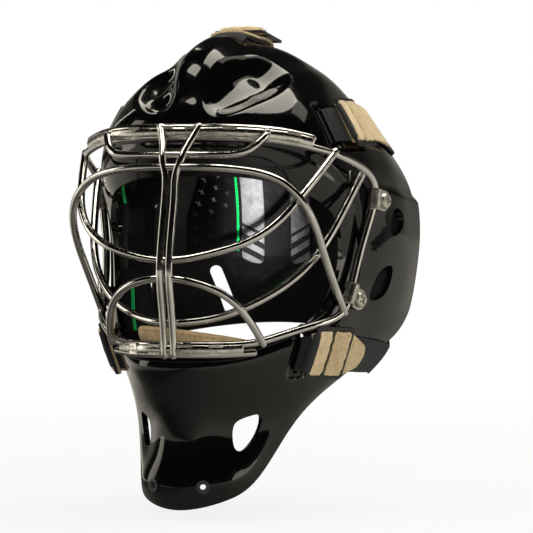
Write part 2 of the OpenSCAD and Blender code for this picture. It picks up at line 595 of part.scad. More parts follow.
module elastic_upper_right() { mirror([1, 0, 0]) elastic_upper_left(); }
module elastic_lower_left() { elastic(lower, anchor_lower); }
module elastic_lower_right() { mirror([1, 0, 0]) elastic_lower_left(); }

module at_slide(strap, lift) { on_strap(strap[2], strap[1], lift) children(); }
slide_w = tab_w + 2 * (slide_bar + window_gap);
slide_l = band_front + band_rear + 4 * window_gap + 3 * slide_bar;
front_y = slide_bar + window_gap;
rear_y = front_y + band_front + 2 * window_gap + slide_bar;
module slide(strap) {
  at_slide(strap, slide_lift) translate([0, -slide_l / 2, 0]) difference() {
    translate([-slide_w / 2, 0, 0]) cube([slide_w, slide_l, slide_t]);
    for (w = [[front_y, band_front], [rear_y, band_rear]])
      translate([-tab_w / 2 - window_gap, w[0] - window_gap, -1])
        cube([tab_w + 2 * window_gap, w[1] + 2 * window_gap, slide_t + 2]);
  }
}
// Suede band: a crowned strip that fills a window of the slide
band_sides = 4;
module band(strap, y, l) {
  function rows_at(z, crown) = [for (i = [0:band_sides]) let (p = 2 * i / band_sides - 1)
    [for (j = [0:4]) let (q = j / 2 - 1)
      [p * tab_w / 2, y + l * (q + 1) / 2, z + crown * sqrt(max(0, 1 - q * q)) * (1 - pow(abs(p), 6) / 3)]]];
  at_slide(strap, slide_lift) translate([0, -slide_l / 2, 0])
    slab(rows_at(slide_t, band_rise), rows_at(layer_gap / 2, 0));
}
// Suede tab on the elastic, tapered towards its free end
module tab(strap) {
  path = [for (k = [0:round(strap[3] * 3)]) along(strap[0], k / 3)];
  n = len(path) - 1;
  function grid(lift) = [for (k = [0:n])
    shell_row(path[k], strap[1], tab_w * (1 - 0.75 * pow(max(0, (k - n * 0.72) / (n * 0.28)), 1.3)), lift)];
  slab(grid(tab_lift + suede_t), grid(tab_lift));
}
module bands(strap) {
  band(strap, front_y, band_front);
  band(strap, rear_y, band_rear);
}
module suede_tabs_upper() { color(suede_tan) both() tab(upper); }
module suede_tabs_lower() { color(suede_tan) both() tab(lower); }
module suede_tab_top() { color(suede_tan) tab(top); }
module suede_bands_upper() { color(suede_tan) both() bands(upper); }
module suede_bands_lower() { color(suede_tan) both() bands(lower); }
module suede_bands_top() { color(suede_tan) bands(top); }
module strap_slides() {
  color([0.02, 0.02, 0.02]) {
    both() {
      slide(upper);
      slide(lower);
    }
    slide(top);
  }
}

// Back plate, its outline by height from the lower edge to the top
back_low = -40;
back_high = 118;
back_outline = [[0, 0.9], [0.12, 1], [0.5, 1], [0.75, 0.86], [0.92, 0.6], [1, 0.42]];
back_steps = 10;
function back_half(q) = plate_w / 2 * lookup(q, back_outline);
function back_height(p, q) = (back_low + (back_high - back_low) * q) * mask_h / drawn[2] - 9 * p * p * (1 - q);
function back_grid(lift, low = 0, high = 1, inset = 0, nu = 9, ns = back_steps) =
  [for (i = [0:nu]) let (p = 1 - 2 * i / nu)
    [for (j = [0:ns]) let (q = low + (high - low) * j / ns)
      back_at(p * (back_half(q) - inset), back_height(p, q), lift)]];
slant_top = [plate_w * 0.28, -4];
slant_foot = [plate_w * 0.22, -30];
module slanted_slot() {
  hull() for (c = [slant_top, slant_foot])
    on_back(c[0], c[1] * mask_h / drawn[2]) cylinder(d = back_slot_w, h = 8 * plate_wall, center = true, $fn = 16);
}
module back_plate() {
  color([0.04, 0.04, 0.045])
  resize([0, 0, 0])
  difference() {
    slab(back_grid(0), back_grid(-plate_wall));
    both() slanted_slot();
    both() for (a = [anchor_upper, anchor_lower]) rivet_hole(a);
    rivet_hole(anchor_top);
  }
}
module back_plate_rivets() {
  module rivet(anchor) {
    at_rivet(anchor, -plate_wall) {
      cylinder(d = rivet_d, h = plate_wall + plate_gap + strap_t + 2 * layer_gap, $fn = 32);
      translate([0, 0, plate_wall + plate_gap + strap_t + layer_gap])
        cylinder(d = rivet_head_d, h = rivet_head_h, $fn = 32);
    }
  }
  color([0.5, 0.5, 0.5]) {
    both() for (a = [anchor_upper, anchor_lower]) rivet(a);
    rivet(anchor_top);
  }
}
// Foam on the plate's inner face, crowned, with a channel up its middle
foam_low = 0.26;
foam_high = 0.92;
foam_inset = 20;
module back_plate_foam() {
  inner = plate_wall + foam_gap;
  function crown(p, q) = back_foam_t * (0.5 + 0.5 * pow((1 - pow(abs(p), 6)) * (1 - pow(abs(q), 6)), 0.6))
    - 2 * exp(-pow(p * 12, 2));
  nu = 12;
  ns = 7;
  function grid(inset, depths) = [for (i = [0:nu]) let (p = 1 - 2 * i / nu)
    [for (j = [0:ns]) let (q = 2 * j / ns - 1, h = foam_low + (foam_high - foam_low) * (q + 1) / 2)
      back_at(p * (back_half(h) - inset), back_height(p, h), -depths(p, q))]];
  color([0.1, 0.1, 0.1])
  slab(grid(foam_inset, function (p, q) inner), grid(foam_inset + 1, function (p, q) inner + crown(p, q)));
}
// Thin silver panels on the foam, beside its middle channel
panel_side = [12, 30];
panel_z = [6, 84];
panel_t = 0.8;
module back_liner_panels() {
  depth = plate_wall + foam_gap + back_foam_t + layer_gap;
  function grid(d) = [for (i = [0:2]) [for (j = [0:5])
    back_at(panel_side[1] + (panel_side[0] - panel_side[1]) * i / 2,
            (panel_z[0] + (panel_z[1] - panel_z[0]) * j / 5) * mask_h / drawn[2], -d)]];
  color([0.6, 0.6, 0.6]) both() slab(grid(depth), grid(depth + panel_t));
}

// Chin sling: a cup behind the lower lip on two straps that snap inside the jaw
sling_pivot = fit([0, -6, -60]);
snap_x = 72 * mask_w / drawn[0];
snap_post_d = 5;
snap_cap_d = 12;
snap_cap_t = 3;
snap_clear = 0.05;
cup_centre = fit([-6, -62, -56]);
cup_size = [40, 40, 13];
cup_turn = 80;
cup_tilt = 0.1;
sling_t = 2;
sling_w = 16;
function cup_point(p, q, out) =
  let (a = p * cup_turn, x = (cup_size[0] + out) * sin(a), y = -(cup_size[1] + out) * cos(a))
  cup_centre + [x, y, cup_size[2] * q * (1 - 0.35 * p * p) - cup_tilt * x + 3 * (1 - q) * (1 - p * p) / 2];
module chin_cup() {
  nu = 10;
  ns = 4;
  function grid(out) = [for (i = [0:nu]) [for (j = [0:ns])
    let (q = 2 * j / ns - 1) cup_point(2 * i / nu - 1, q, out + 3 * q)]];
  color(suede_tan) slab(grid(cup_wall), grid(0));
}
module sling_strap(s) {
  end = [s * (snap_x - snap_cap_t / 2), sling_pivot[1], sling_pivot[2]];
  start = cup_point(s * 0.97, 0, cup_wall + layer_gap + sling_t / 2);
  steps = 8;
  function row(k, out) = let (t = k / steps, p = bend(start, [s * 8, 22, -2], end, [s * 14, 30, -2], t))
    [for (z = [-0.5, 0, 0.5]) p + [s * out, 0, z * sling_w]];
  rows_out = [for (k = [0:steps]) row(s > 0 ? k : steps - k, sling_t / 2)];
  rows_in = [for (k = [0:steps]) row(s > 0 ? k : steps - k, -sling_t / 2)];
  color([0.06, 0.06, 0.06])
  difference() {
    slab(rows_out, rows_in);
    translate(end) rotate([0, 90, 0])
      cylinder(d = snap_cap_d + 2 * hole_gap, h = 30, center = true, $fn = 32);
  }
}
module sling_strap_left() { sling_strap(1); }
module sling_strap_right() { sling_strap(-1); }
module at_snap() { translate([snap_x, sling_pivot[1], sling_pivot[2]]) rotate([0, 90, 0]) children(); }
// Snap caps that turn on the posts
module sling_snaps() {
  color([0.6, 0.58, 0.52])
  both() at_snap() difference() {
    translate([0, 0, -snap_cap_t]) cylinder(d = snap_cap_d, h = snap_cap_t, $fn = 48);
    translate([0, 0, -snap_cap_t - 1]) cylinder(d = snap_post_d + 2 * snap_clear, h = snap_cap_t + 2, $fn = 48);
  }
}
// Posts from the inner wall of the jaw to the snaps
module snap_studs() {
  color([0.6, 0.58, 0.52])
  both() at_snap() {
    translate([0, 0, -snap_cap_t - 1]) cylinder(d = snap_post_d, h = snap_cap_t + 9, $fn = 48);
  }
}

shell();
chin_eyelets();
snap_studs();
cage_frame_wire();
cage_brow_doubler();
cage_chin_doubler();
cage_brow_bar();
cage_eye_wire_upper();
cage_eye_wire_lower();
cage_mouth_wire();
cage_chin_loop();
cage_centre_bar_left();
cage_centre_bar_right();
cage_weld_plates();
cage_clips_upper();
cage_clips_lower();
clip_screws();
clip_washers();
t_nuts();
forehead_foam();
sweatband();
crown_foam();
temple_foam_left();
temple_foam_right();
cheek_foam_left();
cheek_foam_right();
ear_foam_left();
ear_foam_right();
chin_foam();
liner_piping();
suede_tabs_upper();
suede_tabs_lower();
suede_tab_top();
suede_bands_upper();
suede_bands_lower();
suede_bands_top();
strap_slides();
elastic_top();
elastic_upper_left();
elastic_upper_right();
elastic_lower_left();
elastic_lower_right();
back_plate();
back_plate_foam();
back_liner_panels();
back_plate_rivets();
chin_cup();
sling_strap_left();
sling_strap_right();
sling_snaps();
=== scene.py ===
# Hockey goalie mask: the looks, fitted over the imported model.
# Points are in millimetres until a piece is finished; -Y is the face and +X the wearer's left.
import json
import math
import random

import bmesh
import bpy
import numpy as np
from mathutils import Matrix, Vector

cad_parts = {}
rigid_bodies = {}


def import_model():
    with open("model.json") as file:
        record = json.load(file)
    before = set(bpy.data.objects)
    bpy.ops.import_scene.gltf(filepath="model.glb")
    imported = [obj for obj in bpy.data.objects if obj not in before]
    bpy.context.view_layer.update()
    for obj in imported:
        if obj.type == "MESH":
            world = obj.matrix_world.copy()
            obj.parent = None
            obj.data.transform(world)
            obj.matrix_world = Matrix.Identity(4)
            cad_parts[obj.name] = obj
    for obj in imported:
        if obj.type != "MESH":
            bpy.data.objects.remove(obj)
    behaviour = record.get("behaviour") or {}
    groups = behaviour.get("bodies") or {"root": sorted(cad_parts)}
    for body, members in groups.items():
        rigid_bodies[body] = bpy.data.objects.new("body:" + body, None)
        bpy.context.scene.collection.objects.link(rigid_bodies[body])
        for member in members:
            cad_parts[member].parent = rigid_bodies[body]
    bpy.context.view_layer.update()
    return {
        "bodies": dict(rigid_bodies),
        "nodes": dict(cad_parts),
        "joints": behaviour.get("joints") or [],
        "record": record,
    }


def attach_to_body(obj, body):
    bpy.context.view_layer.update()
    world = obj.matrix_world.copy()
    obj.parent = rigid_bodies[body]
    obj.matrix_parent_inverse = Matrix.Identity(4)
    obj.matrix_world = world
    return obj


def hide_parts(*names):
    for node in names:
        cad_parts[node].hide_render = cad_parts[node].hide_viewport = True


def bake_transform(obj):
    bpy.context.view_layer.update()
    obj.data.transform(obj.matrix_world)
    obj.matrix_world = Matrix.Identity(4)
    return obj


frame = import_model()
print("frame loaded", len(frame["nodes"]), "nodes")

# Camera first: the photograph's own view
cameraView = {"azimuth": 22.0, "elevation": 1.2, "distance": 2.212, "lens": 213.5,
              "target": (0.0, 0.034, 0.0)}


def placeCamera(view):
    data = bpy.data.cameras.new("studioCamera")
    data.lens = view["lens"]
    data.sensor_width = 36
    data.clip_end = 60
    camera = bpy.data.objects.new("studioCamera", data)
    bpy.context.scene.collection.objects.link(camera)
    turn, tilt = math.radians(view["azimuth"]), math.radians(view["elevation"])
    back = Vector((math.sin(turn) * math.cos(tilt), -math.cos(turn) * math.cos(tilt), math.sin(tilt)))
    camera.location = Vector(view["target"]) + back * view["distance"]
    camera.rotation_euler = (-back).to_track_quat("-Z", "Y").to_euler()
    bpy.context.scene.camera = camera


placeCamera(cameraView)

# Small helpers


def unit(v):
    v = np.asarray(v, float)
    return v / np.linalg.norm(v)


def ease(x, low, high):
    t = np.clip((np.asarray(x, float) - low) / (high - low), 0, 1)
    return t * t * (3 - 2 * t)


def blendFour(a, b, c, d, t):
    return 0.5 * (2 * b + (c - a) * t + (2 * a - 5 * b + 4 * c - d) * t * t
                  + (3 * b - a - 3 * c + d) * t ** 3)


def along(points, s):
    # Smooth curve through a list of points, at place s
    points = np.asarray(points, float)
    j = int(max(0, min(math.floor(s), len(points) - 2)))
    b, c = points[j], points[j + 1]
    a = points[j - 1] if j > 0 else 2 * b - c
    d = points[j + 2] if j + 2 < len(points) else 2 * c - b
    return blendFour(a, b, c, d, s - j)


def curvePoints(points, steps):
    return [along(points, k / steps) for k in range((len(points) - 1) * steps + 1)]


def flipX(p):
    return np.array([-p[0], p[1], p[2]], float)


def mirroredLine(half):
    return [flipX(p) for p in half[:0:-1]] + [np.asarray(p, float) for p in half]


def smoothed(points, rounds, ring=False):
    # Takes the kinks out of a line and keeps its ends
    p = np.asarray(points, float)
    for _ in range(rounds):
        if ring:
            p = (np.roll(p, 1, 0) + 2 * p + np.roll(p, -1, 0)) / 4
        else:
            p[1:-1] = (p[:-2] + 2 * p[1:-1] + p[2:]) / 4
    return p


# Shell surface: columns of points from the face opening to the outer edge, from the top
# centre over the left ear to the chin centre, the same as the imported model's
net = [
    [[0, -103, 61], [0, -110, 78], [0, -111, 98], [0, -101, 119], [0, -80, 138], [0, -45, 150], [0, 0, 153],
     [0, 48, 136]],
    [[28, -100, 61], [30, -107, 78], [30, -107, 98], [27, -96, 117], [24, -77, 135], [24, -44, 148],
     [25, 0, 150], [26, 47, 133]],
    [[50, -90, 58], [54, -96, 76], [54, -93, 96], [48, -81, 113], [42, -64, 128], [41, -37, 137],
     [43, 4, 140], [46, 47, 125]],
    [[68, -76, 52], [74, -77, 69], [74, -73, 89], [70, -63, 105], [64, -45, 120], [60, -22, 129],
     [59, 12, 127], [61, 48, 112]],
    [[79, -58, 43], [86, -55, 55], [89, -47, 67], [87, -34, 79], [83, -18, 90], [78, 3, 98], [76, 26, 100],
     [76, 50, 93]],
    [[85, -47, 32], [91, -39, 41], [95, -28, 50], [98, -14, 57], [99, 2, 61], [99, 18, 64], [98, 34, 65],
     [97, 50, 63]],
    [[86, -41, 18], [91, -32, 23], [95, -20, 28], [99, -7, 32], [102, 6, 35], [104, 19, 37], [105, 32, 38],
     [106, 45, 38]],
    [[85, -41, 1], [90, -32, 2], [94, -21, 2], [98, -9, 2], [101, 4, 2], [103, 16, 2], [105, 29, 3],
     [106, 42, 4]],
    [[81, -48, -17], [86, -40, -20], [90, -30, -23], [93, -18, -26], [96, -6, -29], [98, 7, -32],
     [99, 20, -36], [99, 32, -41]],
    [[72, -64, -34], [77, -57, -39], [80, -48, -45], [82, -38, -50], [83, -28, -54], [84, -18, -58],
     [84, -8, -61], [83, 1, -63]],
    [[55, -88, -45], [58, -86, -54], [58, -80, -63], [58, -73, -72], [59, -66, -79], [60, -60, -85],
     [60, -54, -91], [59, -48, -95]],
    [[33, -111, -50], [36, -115, -61], [33, -109, -74], [30, -102, -88], [31, -97, -101], [34, -93, -114],
     [39, -92, -127], [42, -87, -139]],
    [[16, -121, -50], [19, -127, -61], [18, -124, -73], [15, -117, -88], [15, -114, -104], [18, -114, -121],
     [26, -116, -138], [26, -111, -152]],
    [[0, -124, -50], [0, -130, -60], [0, -129, -72], [0, -121, -88], [0, -118, -105], [0, -119, -122],
     [0, -125, -141], [0, -122, -157]],
]
columnCount = 26
lastRow = 7
tableStep = 24


def surfaceTable():
    half = np.array(net, float)
    ring = np.concatenate([half, half[1:-1][::-1] * [-1, 1, 1]])
    ends = np.concatenate([2 * ring[:, :1] - ring[:, 1:2], ring, 2 * ring[:, -1:] - ring[:, -2:-1]], axis=1)
    s = np.linspace(0, lastRow, lastRow * tableStep + 1)
    j = np.minimum(s.astype(int), lastRow - 1)
    rows = blendFour(ends[:, j], ends[:, j + 1], ends[:, j + 2], ends[:, j + 3], (s - j)[None, :, None])
    u = np.arange(columnCount * tableStep) / tableStep
    i = u.astype(int)
    table = blendFour(rows[(i - 1) % columnCount], rows[i % columnCount], rows[(i + 1) % columnCount],
                      rows[(i + 2) % columnCount], (u - i)[:, None, None])
    for _ in range(44):
        table = (np.roll(table, 1, 0) + 2 * table + np.roll(table, -1, 0)) / 4
        table[:, 1:-1] = (table[:, :-2] + 2 * table[:, 1:-1] + table[:, 2:]) / 4
    across = np.roll(table, -1, 0) - np.roll(table, 1, 0)
    down = np.gradient(table, axis=1)
    outward = np.cross(across, down)
    outward /= np.linalg.norm(outward, axis=2, keepdims=True)
    return table, outward


shellTable, shellNormals = surfaceTable()


def lookUp(table, u, s):
    # Value between the table's four nearest samples
    u = np.asarray(u, float) * tableStep
    s = np.clip(np.asarray(s, float), 0, lastRow) * tableStep
    i, j = np.floor(u).astype(int), np.minimum(np.floor(s).astype(int), lastRow * tableStep - 1)
    fu, fs = (u - i)[..., None], (s - j)[..., None]
    n = table.shape[0]
    a, b = table[i % n, j], table[(i + 1) % n, j]
    c, d = table[i % n, j + 1], table[(i + 1) % n, j + 1]
    return (a * (1 - fu) + b * fu) * (1 - fs) + (c * (1 - fu) + d * fu) * fs


shellForm = {
    "crestHalf": 24, "crestRise": 8.0, "dimpleDepth": 9.0, "dimpleCentre": (36, -74, 130),
    "dimpleAxis": (0.42, 0.72, 0.55), "dimpleLong": 46, "dimpleShort": 21,
    "flareRise": 3.5, "flareTop": 64, "bandStep": 2.2, "recessDepth": 1.5, "recessHalf": (17.5, 7.5),
    "recessRound": 4.5, "slotHalf": (14.5, 2.5),
    # Slots: place, and the way across the strap that comes out of each
    "slotUpper": ((3.42, 3.1), (0.5, 0.0, -0.87)), "slotLower": ((9.62, 1.85), (-0.28, 0.05, -0.96)),
    "slotTop": ((0, 5.1), (1.0, 0.0, 0.0)),
}


def plainRise(p, s):
    form = shellForm
    x, y, z = np.abs(p[..., 0]), p[..., 1], p[..., 2]
    v = np.stack([x, y, z], -1) - np.array(form["dimpleCentre"], float)
    way = unit(form["dimpleAxis"])
    l = v @ way
    side = np.sqrt(np.maximum(0, (v * v).sum(-1) - l * l))
    reach = np.hypot(l / form["dimpleLong"], side / form["dimpleShort"])
    low = 0.3 + 0.4 * ease(-l / form["dimpleLong"], 0.2, 0.9)
    t = np.clip((reach - low) / (1.1 - low), 0, 1)
    ridge = form["flareTop"] - 0.14 * (y + 40)
    return (form["crestRise"] * (1 - ease(x, 4, form["crestHalf"])) * ease(z, 112, 140)
            * (1 - ease(y, -42, -14)) - form["dimpleDepth"] * (1 - t * t * (3 - 2 * t))
            + form["flareRise"] * ease(ridge - z, 1, 9) * ease(y, -30, 25) * ease(z, -60, -25)
            - form["bandStep"] * (1 - ease(s, 1.3, 1.7)) * ease(z, -52, -30))


def plainSkin(u, s):
    p, n = lookUp(shellTable, u, s), lookUp(shellNormals, u, s)
    return p + n * plainRise(p, np.asarray(s, float))[..., None]


def outwardAt(u, s):
    return unit(lookUp(shellNormals, u, s))


def shellFrame(c, across=None):
    # Point, way across a strap, way towards the outer edge, way out
    n = outwardAt(c[0], c[1])
    if across is None:
        t = plainSkin(c[0], c[1] + 0.1) - plainSkin(c[0], c[1] - 0.1)
        t = unit(t - n * (t @ n))
        return plainSkin(*c), np.cross(n, t), t, n
    w = np.asarray(across, float)
    w = unit(w - n * (w @ n))
    return plainSkin(*c), w, np.cross(n, w), n


def walk(c, x, y, across=None):
    # Column and row of the shell's point at x, y in the frame of place c
    p, w, t, _ = shellFrame(c, across)
    u, s = c
    for _ in range(5):
        here = plainSkin(u, s)
        a = (plainSkin(u + 0.02, s) - plainSkin(u - 0.02, s)) / 0.04
        b = (plainSkin(u, s + 0.02) - plainSkin(u, s - 0.02)) / 0.04
        left = np.array([x - (here - p) @ w, y - (here - p) @ t])
        step = np.linalg.solve(np.array([[a @ w, b @ w], [a @ t, b @ t]]), left)
        u, s = u + step[0], s + step[1]
    return u, s


slotFrames = []
for key in ("slotUpper", "slotLower", "slotTop"):
    p, w, t, n = shellFrame(*shellForm[key])
    slotFrames.append((p, w, t, n))
    if key != "slotTop":
        slotFrames.append((flipX(p), flipX(w), flipX(t), flipX(n)))


def recessDrop(p):
    # The shallow panel that is pressed in round each strap slot
    drop = np.zeros(p.shape[:-1])
    half, corner = shellForm["recessHalf"], shellForm["recessRound"]
    for at, w, t, n in slotFrames:
        v = p - at
        dx = np.maximum(np.abs(v @ w) - (half[0] - corner), 0)
        dy = np.maximum(np.abs(v @ t) - (half[1] - corner), 0)
        near = np.abs(v @ n) < 25
        drop += shellForm["recessDepth"] * (1 - ease(np.hypot(dx, dy) - corner, -1.2, 1.2)) * near
    return drop


def skin(u, s, depth=0.0):
    # Point at a depth below the finished outer surface
    n = lookUp(shellNormals, u, s)
    p = plainSkin(u, s)
    return p - n * (np.asarray(depth, float) + recessDrop(p))[..., None]


print("shell surface ready")

# Materials: every one is built from nodes on Object coordinates or the piece's own UV map


def nodeOf(tree, kind, sockets=None, **settings):
    made = tree.nodes.new(kind)
    for key, value in settings.items():
        setattr(made, key, value)
    for key, value in (sockets or {}).items():
        socket = made.inputs[key]
        if isinstance(value, bpy.types.NodeSocket):
            tree.links.new(value, socket)
        else:
            socket.default_value = value
    return made


socketNames = {
    "color": "Base Color", "roughness": "Roughness", "metallic": "Metallic", "specular": "Specular IOR Level",
    "coat": "Coat Weight", "coatRoughness": "Coat Roughness", "sheen": "Sheen Weight",
    "sheenRoughness": "Sheen Roughness", "sheenTint": "Sheen Tint", "normal": "Normal",
    "coatNormal": "Coat Normal",
}


def startMaterial(name, **values):
    material = bpy.data.materials.new(name)
    material.use_nodes = True
    shader = material.node_tree.nodes["Principled BSDF"]
    for key, value in values.items():
        shader.inputs[socketNames[key]].default_value = (*value, 1) if isinstance(value, tuple) else value
    return material, material.node_tree


def feed(material, **sources):
    # Links a node's result to each named socket of the surface
    tree = material.node_tree
    for key, source in sources.items():
        tree.links.new(source, tree.nodes["Principled BSDF"].inputs[socketNames[key]])
    return material


def coordinates(tree, scale=(1, 1, 1), turn=(0, 0, 0)):
    source = nodeOf(tree, "ShaderNodeTexCoord").outputs["Object"]
    return nodeOf(tree, "ShaderNodeMapping", {"Vector": source, "Scale": scale, "Rotation": turn}).outputs[0]


def noiseOf(tree, vector, scale, detail=3.0, rough=0.5):
    sockets = {"Vector": vector, "Scale": scale, "Detail": detail, "Roughness": rough}
    return nodeOf(tree, "ShaderNodeTexNoise", sockets).outputs["Fac"]


def waveOf(tree, vector, scale, direction, distortion, detail=2.0):
    sockets = {"Vector": vector, "Scale": scale, "Distortion": distortion, "Detail": detail}
    return nodeOf(tree, "ShaderNodeTexWave", sockets, wave_type="BANDS",
                  bands_direction=direction).outputs["Fac"]


def rangeOf(tree, value, low, high, fromLow=0.0, fromHigh=1.0):
    return nodeOf(tree, "ShaderNodeMapRange", {"Value": value, "From Min": fromLow, "From Max": fromHigh,
                                               "To Min": low, "To Max": high}).outputs["Result"]


def mathOf(tree, operation, a, b=0.0):
    return nodeOf(tree, "ShaderNodeMath", {0: a, 1: b}, operation=operation).outputs[0]


def times(tree, a, b):
    return mathOf(tree, "MULTIPLY", a, b)


def mixOf(tree, factor, a, b):
    made = nodeOf(tree, "ShaderNodeMix", data_type="RGBA")
    for index, value in ((0, factor), (6, a), (7, b)):
        if isinstance(value, bpy.types.NodeSocket):
            tree.links.new(value, made.inputs[index])
        else:
            made.inputs[index].default_value = (*value, 1) if index else value
    return made.outputs[2]


def bumpOf(tree, height, distance, strength=1.0, below=None):
    sockets = {"Height": height, "Distance": distance, "Strength": strength}
    if below is not None:
        sockets["Normal"] = below
    return nodeOf(tree, "ShaderNodeBump", sockets).outputs[0]


def shellLacquer():
    # Deep black lacquer over a hand-laid shell: long waves, fine orange peel, a few worn places
    material, tree = startMaterial("shellLacquer", color=(0.0014, 0.0014, 0.0015), specular=0.08, coat=1.0,
                                   coatRoughness=0.025)
    at = coordinates(tree)
    wavy = bumpOf(tree, noiseOf(tree, at, 34, 1.0, 0.4), 0.0004)
    rippled = bumpOf(tree, noiseOf(tree, at, 95, 2.0, 0.5), 0.00006, below=wavy)
    peeled = bumpOf(tree, noiseOf(tree, at, 900, 1.0, 0.5), 0.00001, below=rippled)
    scuffs = noiseOf(tree, coordinates(tree, scale=(1, 1, 3)), 60, 5.0, 0.65)
    return feed(material, roughness=rangeOf(tree, scuffs, 0.12, 0.3, 0.45, 0.8), normal=peeled,
                coatNormal=rippled)


def shellLining():
    # The unpolished inner wall of the shell
    material, tree = startMaterial("shellLining", roughness=0.62, specular=0.12)
    fibres = noiseOf(tree, coordinates(tree), 420, 4.0, 0.7)
    return feed(material, color=mixOf(tree, fibres, (0.0015, 0.0015, 0.0015), (0.006, 0.006, 0.006)),
                normal=bumpOf(tree, fibres, 0.0002))


# Meshes: a bmesh in millimetres becomes a finished piece at the origin


def finishPiece(name, bm, material, body, replaces=(), smooth=True, attach=True):
    bmesh.ops.scale(bm, vec=(0.001, 0.001, 0.001), verts=bm.verts)
    mesh = bpy.data.meshes.new(name)
    bm.to_mesh(mesh)
    bm.free()
    if smooth:
        mesh.shade_smooth()
    piece = bpy.data.objects.new(name, mesh)
    bpy.context.scene.collection.objects.link(piece)
    for one in (material if isinstance(material, (list, tuple)) else [material]):
        mesh.materials.append(one)
    if attach:
        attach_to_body(piece, body)
    if replaces:
        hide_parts(*replaces)
    return piece


def addModifier(piece, kind, **settings):
    made = piece.modifiers.new(kind.title(), kind)
    for key, value in settings.items():
        setattr(made, key, value)


def roundEdges(piece, width, angle, segments=2, harden=True):
    # Width in millimetres; only edges sharper than the angle are rounded
    addModifier(piece, "BEVEL", width=width / 1000, segments=segments, limit_method="ANGLE",
                angle_limit=math.radians(angle), harden_normals=harden)


def chaikin(points, rounds):
    p = np.asarray(points, float)
    for _ in range(rounds):
        after = np.roll(p, -1, 0)
        p = np.stack([p * 0.75 + after * 0.25, p * 0.25 + after * 0.75], 1).reshape(-1, 2)
    return p


def roundedBox(c, half, corner, across=None, perCorner=6):
    # Outline in columns and rows of a rounded box round place c
    ring = []
    for sx, sy, start in ((1, 1, 0), (-1, 1, 90), (-1, -1, 180), (1, -1, 270)):
        for k in range(perCorner + 1):
            a = math.radians(start + 90 * k / perCorner)
            x = sx * (half[0] - corner) + corner * math.cos(a)
            y = sy * (half[1] - corner) + corner * math.sin(a)
            ring.append(walk(c, x, y, across))
    return np.array(ring)


def insideOutline(ring, x, y):
    after = np.roll(ring, -1, 0)
    crosses = ((ring[:, 1] > y) != (after[:, 1] > y))
    dy = after[:, 1] - ring[:, 1]
    dy[dy == 0] = 1e-9
    edgeX = (after[:, 0] - ring[:, 0]) * (y - ring[:, 1]) / dy + ring[:, 0]
    return int((crosses & (x < edgeX)).sum()) % 2 == 1


cellSize = np.array([19.0, 17.0])


def nearestOn(ring, x, y):
    # Nearest point of a closed outline; a column of the shell is about 19 mm wide and a row 17 mm long
    a, q = ring * cellSize, np.array([x, y]) * cellSize
    d = np.roll(a, -1, 0) - a
    t = np.clip(((q - a) * d).sum(1) / np.maximum((d * d).sum(1), 1e-9), 0, 1)
    p = a + d * t[:, None]
    k = int(((p - q) ** 2).sum(1).argmin())
    return p[k] / cellSize


def cutHole(bm, ring, margin, cuts, rounds):
    # Takes out the faces inside an outline, draws the rim onto it and evens out the faces around
    lo, hi = ring.min(0) - margin, ring.max(0) + margin

    def inBox(p):
        return lo[0] < p[0] < hi[0] and lo[1] < p[1] < hi[1]
    edges = [e for e in bm.edges if all(inBox(v.co) for v in e.verts)]
    bmesh.ops.subdivide_edges(bm, edges=edges, cuts=cuts, use_grid_fill=True)
    middles = {f: f.calc_center_median() for f in bm.faces}
    faces = [f for f, c in middles.items() if inBox(c) and insideOutline(ring, c.x, c.y)]
    rim = {v for f in faces for v in f.verts}
    bmesh.ops.delete(bm, geom=faces, context="FACES")
    rim = {v for v in rim if v.is_valid}
    for v in rim:
        if v.link_faces:
            v.co.x, v.co.y = nearestOn(ring, v.co.x, v.co.y)
    near = [v for v in bm.verts if v not in rim and not v.is_boundary and inBox(v.co)]
    for _ in range(rounds):
        bmesh.ops.smooth_vert(bm, verts=near, factor=0.5, use_axis_x=True, use_axis_y=True, use_axis_z=False)


shellMesh = {
    "columns": 364, "rowParts": ((0.0, 1.25, 16), (1.25, 1.75, 14), (1.75, 7.0, 66)),
    "earVentUpper": [[5.72, 4.0], [5.98, 5.05], [6.34, 4.95], [6.46, 3.6]],
    "earVentLower": [[6.95, 4.1], [7.18, 4.35], [7.66, 4.1], [7.86, 3.05], [7.6, 2.8], [7.1, 3.1]],
    "chinVent": [[10.5, 4.2], [10.7, 5.25], [11.25, 5.35], [11.12, 4.1], [10.9, 3.85]],
    "eyelet": (12.35, 6.1), "eyeletHole": 3.4, "wall": 4.0, "edgeRound": 1.1,
    "holeMargin": (0.22, 0.2),
}


def shellOutlines():
    rings = [chaikin(shellMesh[key], 4) for key in ("earVentUpper", "earVentLower", "chinVent")]
    for key in ("slotUpper", "slotLower"):
        c, across = shellForm[key]
        rings.append(roundedBox(c, shellForm["slotHalf"], 2.4, across))
    r = shellMesh["eyeletHole"]
    rings.append(roundedBox(shellMesh["eyelet"], (r, r), r * 0.999))
    rings += [np.stack([columnCount - ring[:, 0], ring[:, 1]], 1)[::-1] for ring in rings]
    top = roundedBox(shellForm["slotTop"][0], shellForm["slotHalf"], 2.4, shellForm["slotTop"][1])
    rings.append(top)
    rings.append(top + [columnCount, 0])
    return rings


